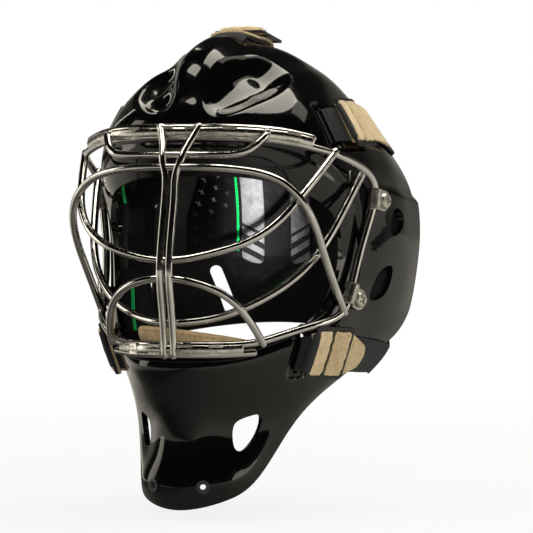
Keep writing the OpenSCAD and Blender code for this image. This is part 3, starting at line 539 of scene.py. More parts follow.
def buildShell():
    bm = bmesh.new()
    rows = sum(part[2] for part in shellMesh["rowParts"])
    bmesh.ops.create_grid(bm, x_segments=shellMesh["columns"], y_segments=rows, size=1)
    parts = [np.linspace(a, b, n, endpoint=False) for a, b, n in shellMesh["rowParts"]]
    rowPlaces = np.concatenate([*parts, [lastRow]])
    for v in bm.verts:
        v.co = ((v.co.x + 1) / 2 * columnCount, rowPlaces[round((v.co.y + 1) / 2 * rows)], 0)
    for ring in shellOutlines():
        cutHole(bm, ring, shellMesh["holeMargin"], 1, 5)
    bmesh.ops.delete(bm, geom=[v for v in bm.verts if not v.link_faces], context="VERTS")
    places = np.array([v.co[:2] for v in bm.verts])
    for v, p in zip(bm.verts, skin(places[:, 0], places[:, 1])):
        v.co = p
    bmesh.ops.remove_doubles(bm, verts=bm.verts, dist=0.01)
    bmesh.ops.recalc_face_normals(bm, faces=bm.faces)
    if sum(f.normal.dot(f.calc_center_median() - Vector((0, -20, 0))) for f in list(bm.faces)[::50]) < 0:
        bmesh.ops.reverse_faces(bm, faces=bm.faces)
    piece = finishPiece("lacquered_shell", bm, [shellLacquer(), shellLining()], "shell",
                        ("shell",))
    addModifier(piece, "SOLIDIFY", thickness=shellMesh["wall"] * 0.001, offset=-1, use_rim=True,
                material_offset=1)
    roundEdges(piece, shellMesh["edgeRound"], 55)


buildShell()
print("shell built")

# Steel: polished wire with the warm tints that welding leaves, plain sheet steel, rough screws


def chromeWire():
    material, tree = startMaterial("chromeWire", metallic=1.0)
    at = coordinates(tree)
    heat = nodeOf(tree, "ShaderNodeAttribute", attribute_name="heat",
                  attribute_type="GEOMETRY").outputs["Fac"]
    patchy = times(tree, heat, rangeOf(tree, noiseOf(tree, at, 420, 3.0), 0.5, 1.25, 0.3, 0.7))
    cloud = rangeOf(tree, noiseOf(tree, at, 70, 4.0), 0, 1, 0.35, 0.65)
    steel = mixOf(tree, cloud, (0.80, 0.78, 0.75), (0.66, 0.65, 0.63))
    burnt = mixOf(tree, noiseOf(tree, at, 700, 2.0), (0.36, 0.19, 0.10), (0.55, 0.36, 0.19))
    rough = rangeOf(tree, noiseOf(tree, at, 240, 4.0, 0.7), 0.06, 0.19, 0.3, 0.7)
    dents = bumpOf(tree, noiseOf(tree, at, 130, 2.0), 0.00022)
    return feed(material, color=mixOf(tree, patchy, steel, burnt),
                roughness=mathOf(tree, "ADD", rough, times(tree, patchy, 0.2)),
                normal=bumpOf(tree, noiseOf(tree, at, 1500, 2.0, 0.6), 0.000006, below=dents))


def clipSteel(name, color, roughness):
    material, tree = startMaterial(name, metallic=1.0)
    wearAndPlaceMask = rangeOf(tree, noiseOf(tree, coordinates(tree), 260, 5.0, 0.7), 0.0, 1.0, 0.4, 0.66)
    grain = noiseOf(tree, coordinates(tree, scale=(1, 1, 6)), 900, 3.0, 0.7)
    pits = bumpOf(tree, wearAndPlaceMask, 0.00006, 0.8)
    return feed(material, color=mixOf(tree, wearAndPlaceMask, color, tuple(c * 0.72 for c in color)),
                roughness=rangeOf(tree, wearAndPlaceMask, roughness - 0.08, roughness + 0.1),
                normal=bumpOf(tree, grain, 0.00003, below=pits))


def moulded(name, color, roughness, grain):
    # Moulded plastic or rubber: fine grain, a few rubbed places
    material, tree = startMaterial(name)
    at = coordinates(tree)
    rubbed = noiseOf(tree, at, 110, 5.0, 0.65)
    lighter = tuple(min(1.0, c * 1.9 + 0.004) for c in color)
    return feed(material, color=mixOf(tree, rangeOf(tree, rubbed, 0, 1, 0.52, 0.75), color, lighter),
                roughness=rangeOf(tree, rubbed, roughness - 0.1, roughness + 0.14, 0.3, 0.7),
                normal=bumpOf(tree, noiseOf(tree, at, 1600, 2.0, 0.6), grain))


chromeWires = chromeWire()
clipMetal = clipSteel("clipSteelMetal", (0.6, 0.585, 0.55), 0.3)
screwMetal = clipSteel("screwMetal", (0.78, 0.75, 0.69), 0.36)
snapMetal = clipSteel("snapMetal", (0.62, 0.57, 0.46), 0.28)
bandMetal = clipSteel("bandMetal", (0.86, 0.83, 0.77), 0.2)
washerRubber = moulded("washerRubber", (0.012, 0.012, 0.012), 0.62, 0.00008)
slidePlastic = moulded("slidePlastic", (0.011, 0.011, 0.011), 0.4, 0.00002)
eyeletPlastic = moulded("eyeletPlastic", (0.02, 0.02, 0.021), 0.3, 0.00002)

# Cage: half wires from the middle outwards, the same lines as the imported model's
cage = {
    "wire": 5.2, "railPitch": 6.0, "centrePitch": 6.4, "heatReach": 6.5,
    "rail": [[0, -117, 88], [25, -115, 88], [48, -107, 87], [66, -95, 85], [80, -83, 81], [91, -70, 77],
             [97, -50, 71], [100, -34, 65], [101, -24, 58], [101, -21, 50], [99, -23, 38], [94, -29, 16],
             [91, -36, -6], [90, -42, -19], [88, -49, -29], [82, -62, -34], [72, -79, -38], [60, -96, -43],
             [49, -108, -47], [34, -120, -48], [18, -130, -48], [0, -134, -48]],
    "browBar": [[0, -127, 76], [20, -126, 76], [36, -123, 76], [44, -121, 77], [49, -118, 79],
                [53, -114, 83], [57, -107, 89]],
    "eyeUpper": [[0, -132, 68], [20, -130, 68], [38, -125, 67], [53, -118, 65], [68, -112, 60],
                 [79, -108, 50], [86, -101, 37], [88, -90, 19], [88, -72, -2], [89, -47, -29]],
    "eyeLower": [[0, -142, 7], [18, -140, 9], [34, -136, 13], [50, -130, 18], [63, -122, 26], [72, -114, 36],
                 [78, -104, 47], [83, -92, 58], [87, -81, 68], [91, -69, 79]],
    "mouth": [[0, -136, -34], [26, -122, -31], [44, -113, -24], [59, -102, -15], [72, -89, -3], [80, -78, 9],
              [86, -67, 23], [90, -56, 37], [94, -45, 52], [98, -33, 67]],
    "chinLoop": [[0, -140, -4], [12, -141, -5], [24, -139, -8], [35, -134, -13], [44, -127, -21],
                 [50, -119, -32], [53, -112, -41], [54, -105, -48]],
    "centreBar": [[14, -117, 95], [11, -121, 88], [7, -127, 79], [4, -131, 72], [0, -133, 62], [0, -135, 46],
                  [0, -139, 28], [0, -142, 12], [0, -143, 0], [0, -142, -10], [0, -139, -24], [0, -136, -42],
                  [0, -135, -55]],
    "browPlates": (0.35, 1.35, 3.2), "chinPlates": (0.55, 1.6), "plateSize": (9.5, 1.6, 7.6),
    "plateForward": 2.3, "beadReach": 3.1,
}
railLine = mirroredLine(cage["rail"])
chinLine = mirroredLine([np.array(cage["rail"][-1 - k], float) - [0, 0, cage["railPitch"]] for k in range(4)])


def cageLines():
    pitch = cage["centrePitch"]
    rail = np.array(cage["rail"], float)
    half = [np.array(p, float) + [pitch / 2 * float(ease(k, 1, 4)), 0, 0]
            for k, p in enumerate(cage["centreBar"])]
    lines = {
        "cage_brow_doubler": (mirroredLine([rail[k] + [0, 0, cage["railPitch"]] for k in range(5)]), 14, 2.4),
        "cage_chin_doubler": (chinLine, 8, 1.6),
        "cage_brow_bar": (mirroredLine(cage["browBar"]), 14, 0.7),
        "cage_eye_wire_upper": (mirroredLine(cage["eyeUpper"]), 26, 0.7),
        "cage_eye_wire_lower": (mirroredLine(cage["eyeLower"]), 26, 0.7),
        "cage_mouth_wire": (mirroredLine(cage["mouth"]), 20, 0.7),
        "cage_chin_loop": (mirroredLine(cage["chinLoop"]), 16, 0.7),
        "cage_centre_bar_left": (half, 6, 0.9),
        "cage_centre_bar_right": ([flipX(p) for p in half], 6, 0.9),
    }
    made = {name: (smoothed(curvePoints(line, 8), rounds), dome)
            for name, (line, rounds, dome) in lines.items()}
    ring = [*rail, *[flipX(p) for p in rail[-2:0:-1]]]
    m = len(ring)
    closed = [blendFour(ring[k - 1], ring[k], ring[(k + 1) % m], ring[(k + 2) % m], t / 8) for k in range(m)
              for t in range(8)]
    made["cage_frame_wire"] = (smoothed(closed, 20, ring=True), None)
    return made


def tubeMesh(points, radius, dome=None, sides=5):
    # A round tube from a curve; dome is how far the rounded ends stand out, or None for a closed ring
    p = [np.asarray(q, float) for q in points]
    sizes = [1.0] * len(p)
    if dome is not None:
        steps = [(math.sin(a), math.cos(a)) for a in np.radians((18, 36, 54, 70, 83, 90))]
        first, last = unit(p[0] - p[1]), unit(p[-1] - p[-2])
        before = [p[0] + first * dome * x for x, _ in steps[::-1]]
        p = before + p + [p[-1] + last * dome * x for x, _ in steps]
        sizes = [max(0.02, y) for _, y in steps[::-1]] + sizes + [max(0.02, y) for _, y in steps]
    data = bpy.data.curves.new("tube", "CURVE")
    data.dimensions = "3D"
    data.bevel_depth = radius
    data.bevel_resolution = sides
    data.use_fill_caps = dome is not None
    spline = data.splines.new("POLY")
    spline.points.add(len(p) - 1)
    for point, place, size in zip(spline.points, p, sizes):
        point.co = (*place, 1)
        point.radius = size
    spline.use_cyclic_u = dome is None
    holder = bpy.data.objects.new("tube", data)
    bpy.context.scene.collection.objects.link(holder)
    bpy.context.view_layer.update()
    mesh = bpy.data.meshes.new_from_object(holder.evaluated_get(bpy.context.evaluated_depsgraph_get()))
    bpy.data.objects.remove(holder)
    bpy.data.curves.remove(data)
    bm = bmesh.new()
    bm.from_mesh(mesh)
    bpy.data.meshes.remove(mesh)
    bmesh.ops.remove_doubles(bm, verts=bm.verts, dist=0.0005)
    bmesh.ops.recalc_face_normals(bm, faces=bm.faces)
    return bm


def stripMesh(bm, rows):
    # Skins a list of equal closed rows of points, each with its seam point twice; closes both ends
    count, last = len(rows[0]) - 1, len(rows) - 1
    uv = bm.loops.layers.uv.verify()
    middles = np.array([np.mean(row, axis=0) for row in rows])
    far = np.concatenate([[0], np.cumsum(np.linalg.norm(np.diff(middles, axis=0), axis=1))]) / 10
    girth = [np.concatenate([[0], np.cumsum(np.linalg.norm(np.diff(row, axis=0), axis=1))]) / 10
             for row in rows]
    grid = bmesh.ops.create_grid(bm, x_segments=count, y_segments=last, size=1)["verts"]
    spots = {v: (round((v.co.x + 1) / 2 * count), round((v.co.y + 1) / 2 * last)) for v in grid}
    for f in {f for v in grid for f in v.link_faces}:
        for corner in f.loops:
            i, k = spots[corner.vert]
            corner[uv].uv = (girth[k][i], far[k])
    for v, (i, k) in spots.items():
        v.co = rows[k][i]
    bmesh.ops.remove_doubles(bm, verts=grid, dist=0.002)
    rim = [e for e in bm.edges if len(e.link_faces) == 1]
    bmesh.ops.holes_fill(bm, edges=rim, sides=0)
    bmesh.ops.recalc_face_normals(bm, faces=bm.faces)


cageWires = cageLines()


def weldSpots():
    # Where two wires touch: middle, the way between them, and how each one runs
    spots = []
    names = sorted(cageWires)
    side = [("cage_brow_doubler", "cage_frame_wire"), ("cage_chin_doubler", "cage_frame_wire"),
            ("cage_centre_bar_left", "cage_centre_bar_right")]
    for i, a in enumerate(names):
        for b in names[i + 1:]:
            if (a, b) in side:
                continue
            pa, pb = cageWires[a][0], cageWires[b][0]
            gap = np.linalg.norm(pa[:, None] - pb[None], axis=2)
            least, at = gap.min(1), gap.argmin(1)
            for k in range(len(pa)):
                near = least[max(0, k - 9):k + 10]
                if least[k] < 6.9 and least[k] <= near.min():
                    j = at[k]
                    da = unit(pa[min(k + 1, len(pa) - 1)] - pa[max(k - 1, 0)])
                    db = unit(pb[min(j + 1, len(pb) - 1)] - pb[max(j - 1, 0)])
                    spots.append(((pa[k] + pb[j]) / 2, pb[j] - pa[k], da, db))
    return spots


welds = weldSpots()
weldMiddles = np.array([spot[0] for spot in welds])


def heatBy(bm):
    layer = bm.verts.layers.float.new("heat")
    for v in bm.verts:
        gap = np.linalg.norm(weldMiddles - np.array(v.co), axis=1).min()
        v[layer] = float(1 - ease(gap, 2.4, cage["heatReach"]))


def buildCage():
    for name, (points, dome) in cageWires.items():
        bm = tubeMesh(points, cage["wire"] / 2, dome, 4)
        heatBy(bm)
        finishPiece(name + "_polished", bm, chromeWires, "shell", (name,))
    buildBeads()
    buildPlates()
    buildBands()


def buildBeads():
    # A lumpy bead of weld at each crossing
    bm = bmesh.new()
    rng = random.Random(4)
    for middle, between, da, db in welds:
        n = between if np.linalg.norm(between) > 1.2 else np.cross(da, db)
        n = unit(n) if np.linalg.norm(n) > 0.1 else unit(np.cross(da, [0.2, 0.3, 0.9]))
        a = unit(da - n * (da @ n))
        b = np.cross(n, a)
        reach = cage["beadReach"] + rng.uniform(-0.3, 0.4)
        turn = Matrix(((a[0], b[0], n[0]), (a[1], b[1], n[1]), (a[2], b[2], n[2])))
        for v in bmesh.ops.create_icosphere(bm, subdivisions=3, radius=1)["verts"]:
            x, y, z = v.co
            lump = 1 + 0.07 * math.sin(7 * x + 5 * y + 3 * middle[0]) * math.cos(6 * z + 4 * y)
            v.co = turn @ (Vector((x * reach * 1.1, y * reach * 0.85, z * 2.3)) * lump) + Vector(middle)
    heatBy(bm)
    finishPiece("cage_weld_beads", bm, chromeWires, "shell")


def railFrame(line, s, step, forward):
    # A place between two doubled wires, the way along them, the way out and the way up
    p, q = along(line, s - step), along(line, s + step)
    t = unit(q - p)
    n = unit(np.cross(t, [0, 0, 1]))
    up = np.cross(n, t)
    return (p + q) / 2 + up * cage["railPitch"] / 2 + n * forward, t, n, up


def buildPlates():
    bm = bmesh.new()
    size = cage["plateSize"]
    for line, places in ((railLine, cage["browPlates"]), (chinLine, cage["chinPlates"])):
        for s in [*places, *[-q for q in places]]:
            at, t, n, up = railFrame(line, len(line) // 2 + s, 0.1, cage["plateForward"])
            for v in bmesh.ops.create_cube(bm, size=1)["verts"]:
                x, y, z = v.co
                v.co = Vector(at + t * x * size[0] + n * y * size[1] + up * z * size[2])
    bmesh.ops.bevel(bm, geom=bm.edges[:], offset=0.35, offset_type="OFFSET", segments=2, profile=0.5,
                    affect="EDGES", material=-1)
    bmesh.ops.recalc_face_normals(bm, faces=bm.faces)
    finishPiece("cage_weld_plates_polished", bm, bandMetal, "shell", ("cage_weld_plates",),
                smooth=False)


bands = {"brow": 4.0, "chin": 2.6, "halfHeight": 3.4, "halfThick": 1.9, "forward": 1.5, "steps": 120,
         "roundPart": 0.015}


def buildBands():
    # Flattened bars between the doubled wires at brow and chin
    turns = np.linspace(0, 2 * np.pi, 25)
    for name, line in (("brow", railLine), ("chin", chinLine)):
        rows = []
        for way in np.linspace(-1, 1, bands["steps"] + 1):
            at, _, n, up = railFrame(line, len(line) // 2 + way * bands[name], 0.08, bands["forward"])
            past = max(0.0, abs(way) - 1 + bands["roundPart"]) / bands["roundPart"]
            narrow = math.sqrt(max(0.02, 1 - past ** 2))
            rows.append(at + np.outer(np.sin(turns) * bands["halfHeight"] * narrow, up)
                        + np.outer(np.cos(turns) * bands["halfThick"] * narrow, n))
        bm = bmesh.new()
        stripMesh(bm, rows)
        finishPiece("cage_" + name + "_band", bm, bandMetal, "shell")


buildCage()
print("cage built with", len(welds), "welds")

# Clips, screws, washers and nuts


def latheMesh(bm, profile, place, w, t, n, steps=40, closed=True):
    # Turns a profile of (radius, height) points about the frame's axis n; tags mark what is already in place
    made = [bm.verts.new((r, 0, h)) for r, h in profile]
    edges = [bm.edges.new((a, b)) for a, b in zip(made, made[1:])]
    if closed:
        edges.append(bm.edges.new((made[-1], made[0])))
    bmesh.ops.spin(bm, geom=made + edges, cent=(0, 0, 0), axis=(0, 0, 1), dvec=(0, 0, 0), angle=math.tau,
                   steps=steps, use_merge=True, use_duplicate=False)
    moved = Matrix([*[(w[k], t[k], n[k], place[k]) for k in range(3)], (0, 0, 0, 1)])
    for v in bm.verts:
        if not v.tag:
            v.co = moved @ v.co
            v.tag = True


def sideFrames(c):
    # A place's frame on the left and its mirror image on the right
    p, w, t, n = shellFrame(c)
    return [(p, w, t, n), (flipX(p), -flipX(w), flipX(t), flipX(n))]


clips = {
    "screwUpper": (5.44, 2.96), "screwLower": (7.89, 1.83), "stand": 2.3, "thick": 1.8, "width": 14.0,
    "sleeveGap": 0.3, "screwShank": 2.4, "headRadius": 5.5, "headHigh": 2.9, "crossWide": 0.62,
    "crossLong": 3.5, "crossDeep": 1.3, "washerRadius": 7.0, "washerHole": 3.5, "washerHigh": 2.0,
}


def clipMesh(bm, frame, wireSide):
    p, _, _, n = frame
    thick, wide = clips["thick"], clips["width"]
    middle = p + n * (clips["stand"] + thick / 2)
    wires = cageWires["cage_frame_wire"][0]
    wires = wires[wires[:, 0] * wireSide > 20]
    atWire = wires[np.linalg.norm(wires - (p + n * 2.6), axis=1).argmin()]
    flat = atWire - middle
    flat = unit(flat - n * (flat @ n))
    edge = middle + flat * (clips["headRadius"] + 0.3)
    reach = atWire - edge
    side = unit(reach)
    lengthwise = unit(np.cross(reach, n))
    up = np.cross(lengthwise, side)
    radius = cage["wire"] / 2 + clips["sleeveGap"] + thick / 2
    run = np.linalg.norm(reach)
    line = [middle - flat * wide / 2 * k / 4 for k in (4, 3, 2, 1)]
    line += [middle, middle + (edge - middle) * 0.5, edge]
    line += [edge + side * (run - radius - 1.4)]
    line += [atWire + side * radius * math.cos(a) + up * radius * math.sin(a)
             for a in np.radians(range(160, -60, -20))]
    line = smoothed(curvePoints(line, 5), 12)
    lengths = np.concatenate([[0], np.cumsum(np.linalg.norm(np.diff(line, axis=0), axis=1))])
    rows, columns = len(line) - 1, 14
    grid = bmesh.ops.create_grid(bm, x_segments=columns, y_segments=rows, size=1)["verts"]
    for v in grid:
        k = round((v.co.y + 1) / 2 * rows)
        x = v.co.x
        back = max(0.0, wide / 2 - lengths[k])
        half = math.sqrt(max(0.02, (wide / 2) ** 2 - back ** 2))
        v.co = Vector(line[k] + lengthwise * x * half)


def headMesh(bm, place, spin, seat):
    # A domed screw head with a crossed slot, turned by spin, and its shank
    p, w, t, n = place
    high, radius, shank = clips["headHigh"], clips["headRadius"], clips["screwShank"]
    for v in bmesh.ops.create_grid(bm, x_segments=56, y_segments=56, size=1)["verts"]:
        a, b = v.co.x, v.co.y
        x, y = a * math.sqrt(1 - b * b / 2), b * math.sqrt(1 - a * a / 2)
        r = min(1.0, math.hypot(x, y))
        z = high * (1 - 0.18 * r ** 2 - 0.82 * max(0.0, (r - 0.72) / 0.28) ** 2.4)
        for ahead, aside in ((x, y), (y, x)):
            slot = 1 - float(ease(abs(aside) * radius, clips["crossWide"], clips["crossWide"] + 0.35))
            slot *= 1 - float(ease(abs(ahead) * radius, clips["crossLong"] - 0.5, clips["crossLong"]))
            z = min(z, high * 0.9 - clips["crossDeep"] * slot) if slot > 0.02 else z
        turned = (x * math.cos(spin) - y * math.sin(spin), x * math.sin(spin) + y * math.cos(spin))
        v.co = Vector(p + w * turned[0] * radius + t * turned[1] * radius + n * (seat + z))
        v.tag = True
    latheMesh(bm, [(shank, -4.0), (shank, seat + 0.5), (radius - 0.05, seat + 0.05),
                   (radius - 0.6, seat - 0.1), (0.01, seat - 0.1), (0.01, -4.0)], *place, 32)


def buildClips():
    heads, washers, nuts = bmesh.new(), bmesh.new(), bmesh.new()
    seat = clips["stand"] + clips["thick"] + 0.25
    hole, wash, top = clips["washerHole"], clips["washerRadius"], clips["washerHigh"]
    wall = shellMesh["wall"]
    washer = [(hole, 0.0), (wash - 0.3, 0.0), (wash, 0.35), (wash, top - 0.3), (wash - 0.35, top),
              (hole + 0.2, top), (hole, top - 0.2)]
    nut = [(2.5, -wall - 2.7), (6.3, -wall - 2.7), (6.5, -wall - 2.5), (6.5, -wall - 1.35),
           (6.3, -wall - 1.2), (3.5, -wall - 1.2), (3.5, 0.0), (2.5, 0.0)]
    spins = iter((0.5, 0.2, 0.9, 0.35))
    for name, c in (("cage_clips_upper", clips["screwUpper"]), ("cage_clips_lower", clips["screwLower"])):
        bm = bmesh.new()
        for place, wireSide in zip(sideFrames(c), (1, -1)):
            clipMesh(bm, place, wireSide)
            headMesh(heads, place, next(spins), seat)
            latheMesh(washers, washer, *place, 40)
            latheMesh(nuts, nut, *place, 32)
        bmesh.ops.recalc_face_normals(bm, faces=bm.faces)
        piece = finishPiece(name + "_bent", bm, clipMetal, "shell", (name,))
        addModifier(piece, "SOLIDIFY", thickness=clips["thick"] * 0.001, offset=0, use_rim=True)
        roundEdges(piece, 0.4, 50, harden=False)
    for bm, name, material, slot, node in (
            (heads, "clip_screws_crosshead", screwMetal, "screw_steel", "clip_screws"),
            (washers, "clip_washers_rubber", washerRubber, "washer_rubber", "clip_washers"),
            (nuts, "t_nuts_plated", clipMetal, "screw_steel", "t_nuts")):
        bmesh.ops.remove_doubles(bm, verts=bm.verts, dist=0.01)
        bmesh.ops.recalc_face_normals(bm, faces=bm.faces)
        piece = finishPiece(name, bm, material, "shell", (node,))
        piece.data.set_sharp_from_angle(angle=math.radians(40))


buildClips()
print("clips built")

# Straps: elastics from the slots to the back plate, suede tabs, slides with suede bands


def wovenElastic():
    # UVs in centimetres: fine ribs along the strap and a close weft across it
    material, tree = startMaterial("wovenElastic", roughness=0.75, specular=0.25, sheen=0.25,
                                   sheenRoughness=0.5, sheenTint=(0.3, 0.3, 0.3))
    uv = nodeOf(tree, "ShaderNodeTexCoord").outputs["UV"]
    ribs = times(tree, waveOf(tree, uv, 2.6, "X", 0.4, 1.0), 0.7)
    weft = times(tree, waveOf(tree, uv, 4.4, "Y", 0.8, 1.0), 0.45)
    both = mathOf(tree, "ADD", ribs, weft)
    fuzz = bumpOf(tree, noiseOf(tree, coordinates(tree), 2400, 2.0), 0.00006)
    return feed(material, color=mixOf(tree, both, (0.006, 0.006, 0.006), (0.026, 0.026, 0.027)),
                normal=bumpOf(tree, both, 0.00022, below=fuzz))


def suedeHide(name, light, dark):
    # Napped hide: cloudy colour, shade painted into the pits of the pores, short fibres that catch light at
    # the edges
    material, tree = startMaterial(name, roughness=0.93, specular=0.12, sheen=0.35, sheenRoughness=0.45,
                                   sheenTint=(0.95, 0.85, 0.65))
    at = coordinates(tree)
    cloud = rangeOf(tree, noiseOf(tree, at, 90, 4.0, 0.6), 0.0, 1.0, 0.3, 0.7)
    # Painted shade: small dark spots stand for the shade in the hide's pits
    poreShade = rangeOf(tree, noiseOf(tree, at, 620, 3.0, 0.65), 1.0, 0.0, 0.3, 0.52)
    fibre = noiseOf(tree, coordinates(tree, scale=(1, 1, 0.35)), 1500, 3.0, 0.7)
    base = mixOf(tree, cloud, light, dark)
    poreShaded = mixOf(tree, times(tree, poreShade, 0.55), base, tuple(c * 0.42 for c in dark))
    fibred = mixOf(tree, rangeOf(tree, fibre, 0.0, 0.5, 0.42, 0.75), poreShaded,
                   tuple(min(1, c * 1.3) for c in light))
    nap = bumpOf(tree, noiseOf(tree, at, 300, 4.0, 0.7), 0.0006)
    return feed(material, color=fibred, normal=bumpOf(tree, fibre, 0.00028, below=nap))


elasticBlack = wovenElastic()
suedePale = suedeHide("suedePale", (0.62, 0.49, 0.30), (0.47, 0.34, 0.185))
suedeMottled = suedeHide("suedeMottled", (0.56, 0.435, 0.255), (0.40, 0.28, 0.14))

straps = {
    "width": 25.0, "thick": 1.8, "lift": 0.6, "tabWidth": 30.0, "tabThick": 1.8, "tabLift": 2.9,
    "slideLift": 5.7, "slideThick": 1.7, "bar": 2.4, "bandFront": 11.5, "bandRear": 15.5, "rearRise": 1.19,
    "windowGap": 0.4, "leave": 16.0, "plateGap": 0.4, "freeRows": 26, "slotDepth": 4.5,
    "upper": {"path": [(3.42, 3.1), (3.88, 4.2), (4.02, 5.2), (4.1, 6.1), (4.1, 6.95)],
              "across": (0.5, 0.0, -0.87), "slide": (3.89, 4.3), "tab": (0.6, 3.3), "tip": 0.0, "crest": 0.0,
              "bandRise": 1.4, "anchor": (58, 74, (0.25, -0.97), (-30, 17, -8))},
    "lower": {"path": [(9.62, 1.85), (9.26, 2.65), (9.08, 3.7), (8.95, 5.1), (8.86, 6.6), (8.75, 8.3)],
              "across": (-0.28, 0.05, -0.96), "slide": (9.27, 2.5), "tab": (0.2, 3.3), "tip": 1.0,
              "crest": 0.0, "bandRise": 1.4, "anchor": (66, -22, (-0.15, -0.99), (-48, 30, 8))},
    "top": {"path": [(0, 5.1), (0, 5.6), (0, 6.1), (0, 6.5), (0, 6.95)], "across": (1, 0, 0),
            "slide": (0, 6.0), "tab": (0.55, 2.7), "tip": 0.4, "crest": 0.9, "bandRise": 3.1,
            "anchor": (0, 96, (1, 0), (0, 10, -26))},
}
backLine = [(58, -70), (62, -46), (68, -20), (70, 10), (69, 45), (61, 80), (49, 105), (37, 122), (25, 135)]
backSettings = {"radius": 95.0, "width": 172.0, "wall": 3.0, "low": -40.0, "high": 118.0,
                "outline": ((0, 0.9), (0.12, 1), (0.5, 1), (0.75, 0.86), (0.92, 0.6), (1, 0.42))}
backZ = np.array([p[1] for p in backLine], float)
backYs = np.array([p[0] for p in backLine], float)


def backY(z):
    z = np.asarray(z, float)
    k = np.clip(np.searchsorted(backZ, z, side="right") - 1, 0, len(backZ) - 2)
    t = (z - backZ[k]) / (backZ[k + 1] - backZ[k])
    a = np.where(k > 0, backYs[np.maximum(k - 1, 0)], 2 * backYs[k] - backYs[k + 1])
    d = np.where(k + 2 < len(backZ), backYs[np.minimum(k + 2, len(backZ) - 1)], 2 * backYs[k + 1] - backYs[k])
    return blendFour(a, backYs[k], backYs[k + 1], d, t)


def backAt(x, z, lift=0.0):
    # Point on the back plate's outer face, or further out by lift
    x, z = np.broadcast_arrays(np.asarray(x, float), np.asarray(z, float))
    slope = (backY(z + 1) - backY(z - 1)) / 2
    way = np.stack([x / backSettings["radius"], np.ones_like(x), -slope], -1)
    way /= np.linalg.norm(way, axis=-1, keepdims=True)
    face = np.stack([x, backY(z) - x * x / 2 / backSettings["radius"], z], -1)
    return face + way * np.asarray(lift, float)[..., None]


def strapStep(c, across):
    # Change of column and row for a millimetre across the strap
    u, s = c[0], min(c[1], lastRow - 0.05)
    n = outwardAt(u, s)
    v = np.asarray(across, float)
    v = unit(v - n * (v @ n))
    a = (plainSkin(u + 0.05, s) - plainSkin(u - 0.05, s)) / 0.1
    b = (plainSkin(u, s + 0.05) - plainSkin(u, s - 0.05)) / 0.1
    return np.linalg.solve(np.array([[a @ a, a @ b], [a @ b, b @ b]]), np.array([a @ v, b @ v]))


def overShell(c, step, x, lift):
    # Points across a strap at place c, x across and lift above the shell, straight on past its rear edge
    x, lift = np.broadcast_arrays(np.asarray(x, float), np.asarray(lift, float))
    u, s = c[0] + step[0] * x, c[1] + step[1] * x
    held = np.minimum(s, lastRow)
    n = lookUp(shellNormals, u, held)
    p = plainSkin(u, held) + n * lift[..., None]
    past = np.maximum(0, s - lastRow)[..., None]
    before = plainSkin(u, held - 0.1) + lookUp(shellNormals, u, held - 0.1) * lift[..., None]
    return p + past * 10 * (p - before) * (past > 0)


def hermite(a, ta, b, tb, t):
    return (a * (2 * t ** 3 - 3 * t * t + 1) + ta * (t ** 3 - 2 * t * t + t)
            + b * (3 * t * t - 2 * t ** 3) + tb * (t ** 3 - t * t))


def stripSection(width, thick, corner, across=12, perCorner=3):
    # Closed loop round a strap's section, starting under its middle
    r = min(corner, thick / 2 - 0.01)
    half = width / 2 - r

    def turned(side, height, start):
        angles = [math.radians(start + 90 * k / perCorner) for k in range(perCorner + 1)]
        return [(side * half + r * math.cos(a), height + r * math.sin(a)) for a in angles]
    loop = [(half * 2 * k / across, 0.0) for k in range(across // 2)]
    loop += turned(1, r, -90) + turned(1, thick - r, 0)
    loop += [(half * (1 - 2 * k / across), thick) for k in range(1, across)]
    loop += turned(-1, thick - r, 90) + turned(-1, r, 180)
    loop += [(-half * (1 - 2 * k / across), 0.0) for k in range(1, across // 2)]
    return np.array([*loop, (0.0, 0.0)])


def elasticRows(strap):
    # Rows of points from inside the slot, over the shell and freely across to the back plate
    section = stripSection(straps["width"], straps["thick"], 0.5)
    x, z = section[:, 0], section[:, 1]
    path = curvePoints(strap["path"], 10)
    sunk = straps["slotDepth"]
    rows = []
    for k, c in enumerate(path):
        lift = -sunk + (straps["lift"] + sunk + strap["crest"]) * float(ease(k, 0, 5))
        rows.append(overShell(c, strapStep(c, strap["across"]), x, lift + z))
    last = path[-1]
    _, _, t, _ = shellFrame((last[0], min(last[1], lastRow) - 0.2))
    start = rows[-1] + t * 4.0
    ax, az, (dx, dz), leaving = strap["anchor"]

    def onPlate(px, pz):
        return backAt(px + dx * x, pz + dz * x, straps["plateGap"] + z)
    end = onPlate(ax, az)
    free = straps["freeRows"]
    rows += [hermite(start, t * straps["leave"], end, np.array(leaving, float), i / free)
             for i in range(free + 1)]
    for k in range(1, 7):
        rows.append(onPlate(ax - 2.2 * k * np.sign(ax), az - (2.2 * k if ax == 0 else 0)))
    return rows, start.mean(axis=0), end.mean(axis=0)


def mirroredMesh(bm):
    for v in bm.verts:
        v.co.x = -v.co.x
    bmesh.ops.reverse_faces(bm, faces=bm.faces)


def gather(whole, one, mirrored=False):
    # Adds one closed mesh to another, mirrored to the other side if asked
    bmesh.ops.recalc_face_normals(one, faces=one.faces)
    if mirrored:
        mirroredMesh(one)
    mesh = bpy.data.meshes.new("part")
    one.to_mesh(mesh)
    one.free()
    whole.from_mesh(mesh)
    bpy.data.meshes.remove(mesh)


def buildElastics():
    for key, sides in (("upper", ("left", "right")), ("lower", ("left", "right")), ("top", ("",))):
        for side in sides:
            rows, start, end = elasticRows(straps[key])
            bm = bmesh.new()
            stripMesh(bm, rows)
            if side == "right":
                mirroredMesh(bm)
                start, end = flipX(start), flipX(end)
            node = "elastic_" + key + ("_" + side if side else "")
            piece = finishPiece(node + "_woven", bm, elasticBlack, "shell", (node,),
                                attach=False)
            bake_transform(piece)


def slideFrame(strap, lift):
    # x across the strap, y along it to the rear, z out
    p, w, t, n = shellFrame(strap["slide"], strap["across"])
    return p + n * lift, w, t, n


def inFrame(place, local):
    p, w, t, n = place
    local = np.asarray(local, float)
    return p + local[..., 0:1] * w + local[..., 1:2] * t + local[..., 2:3] * n


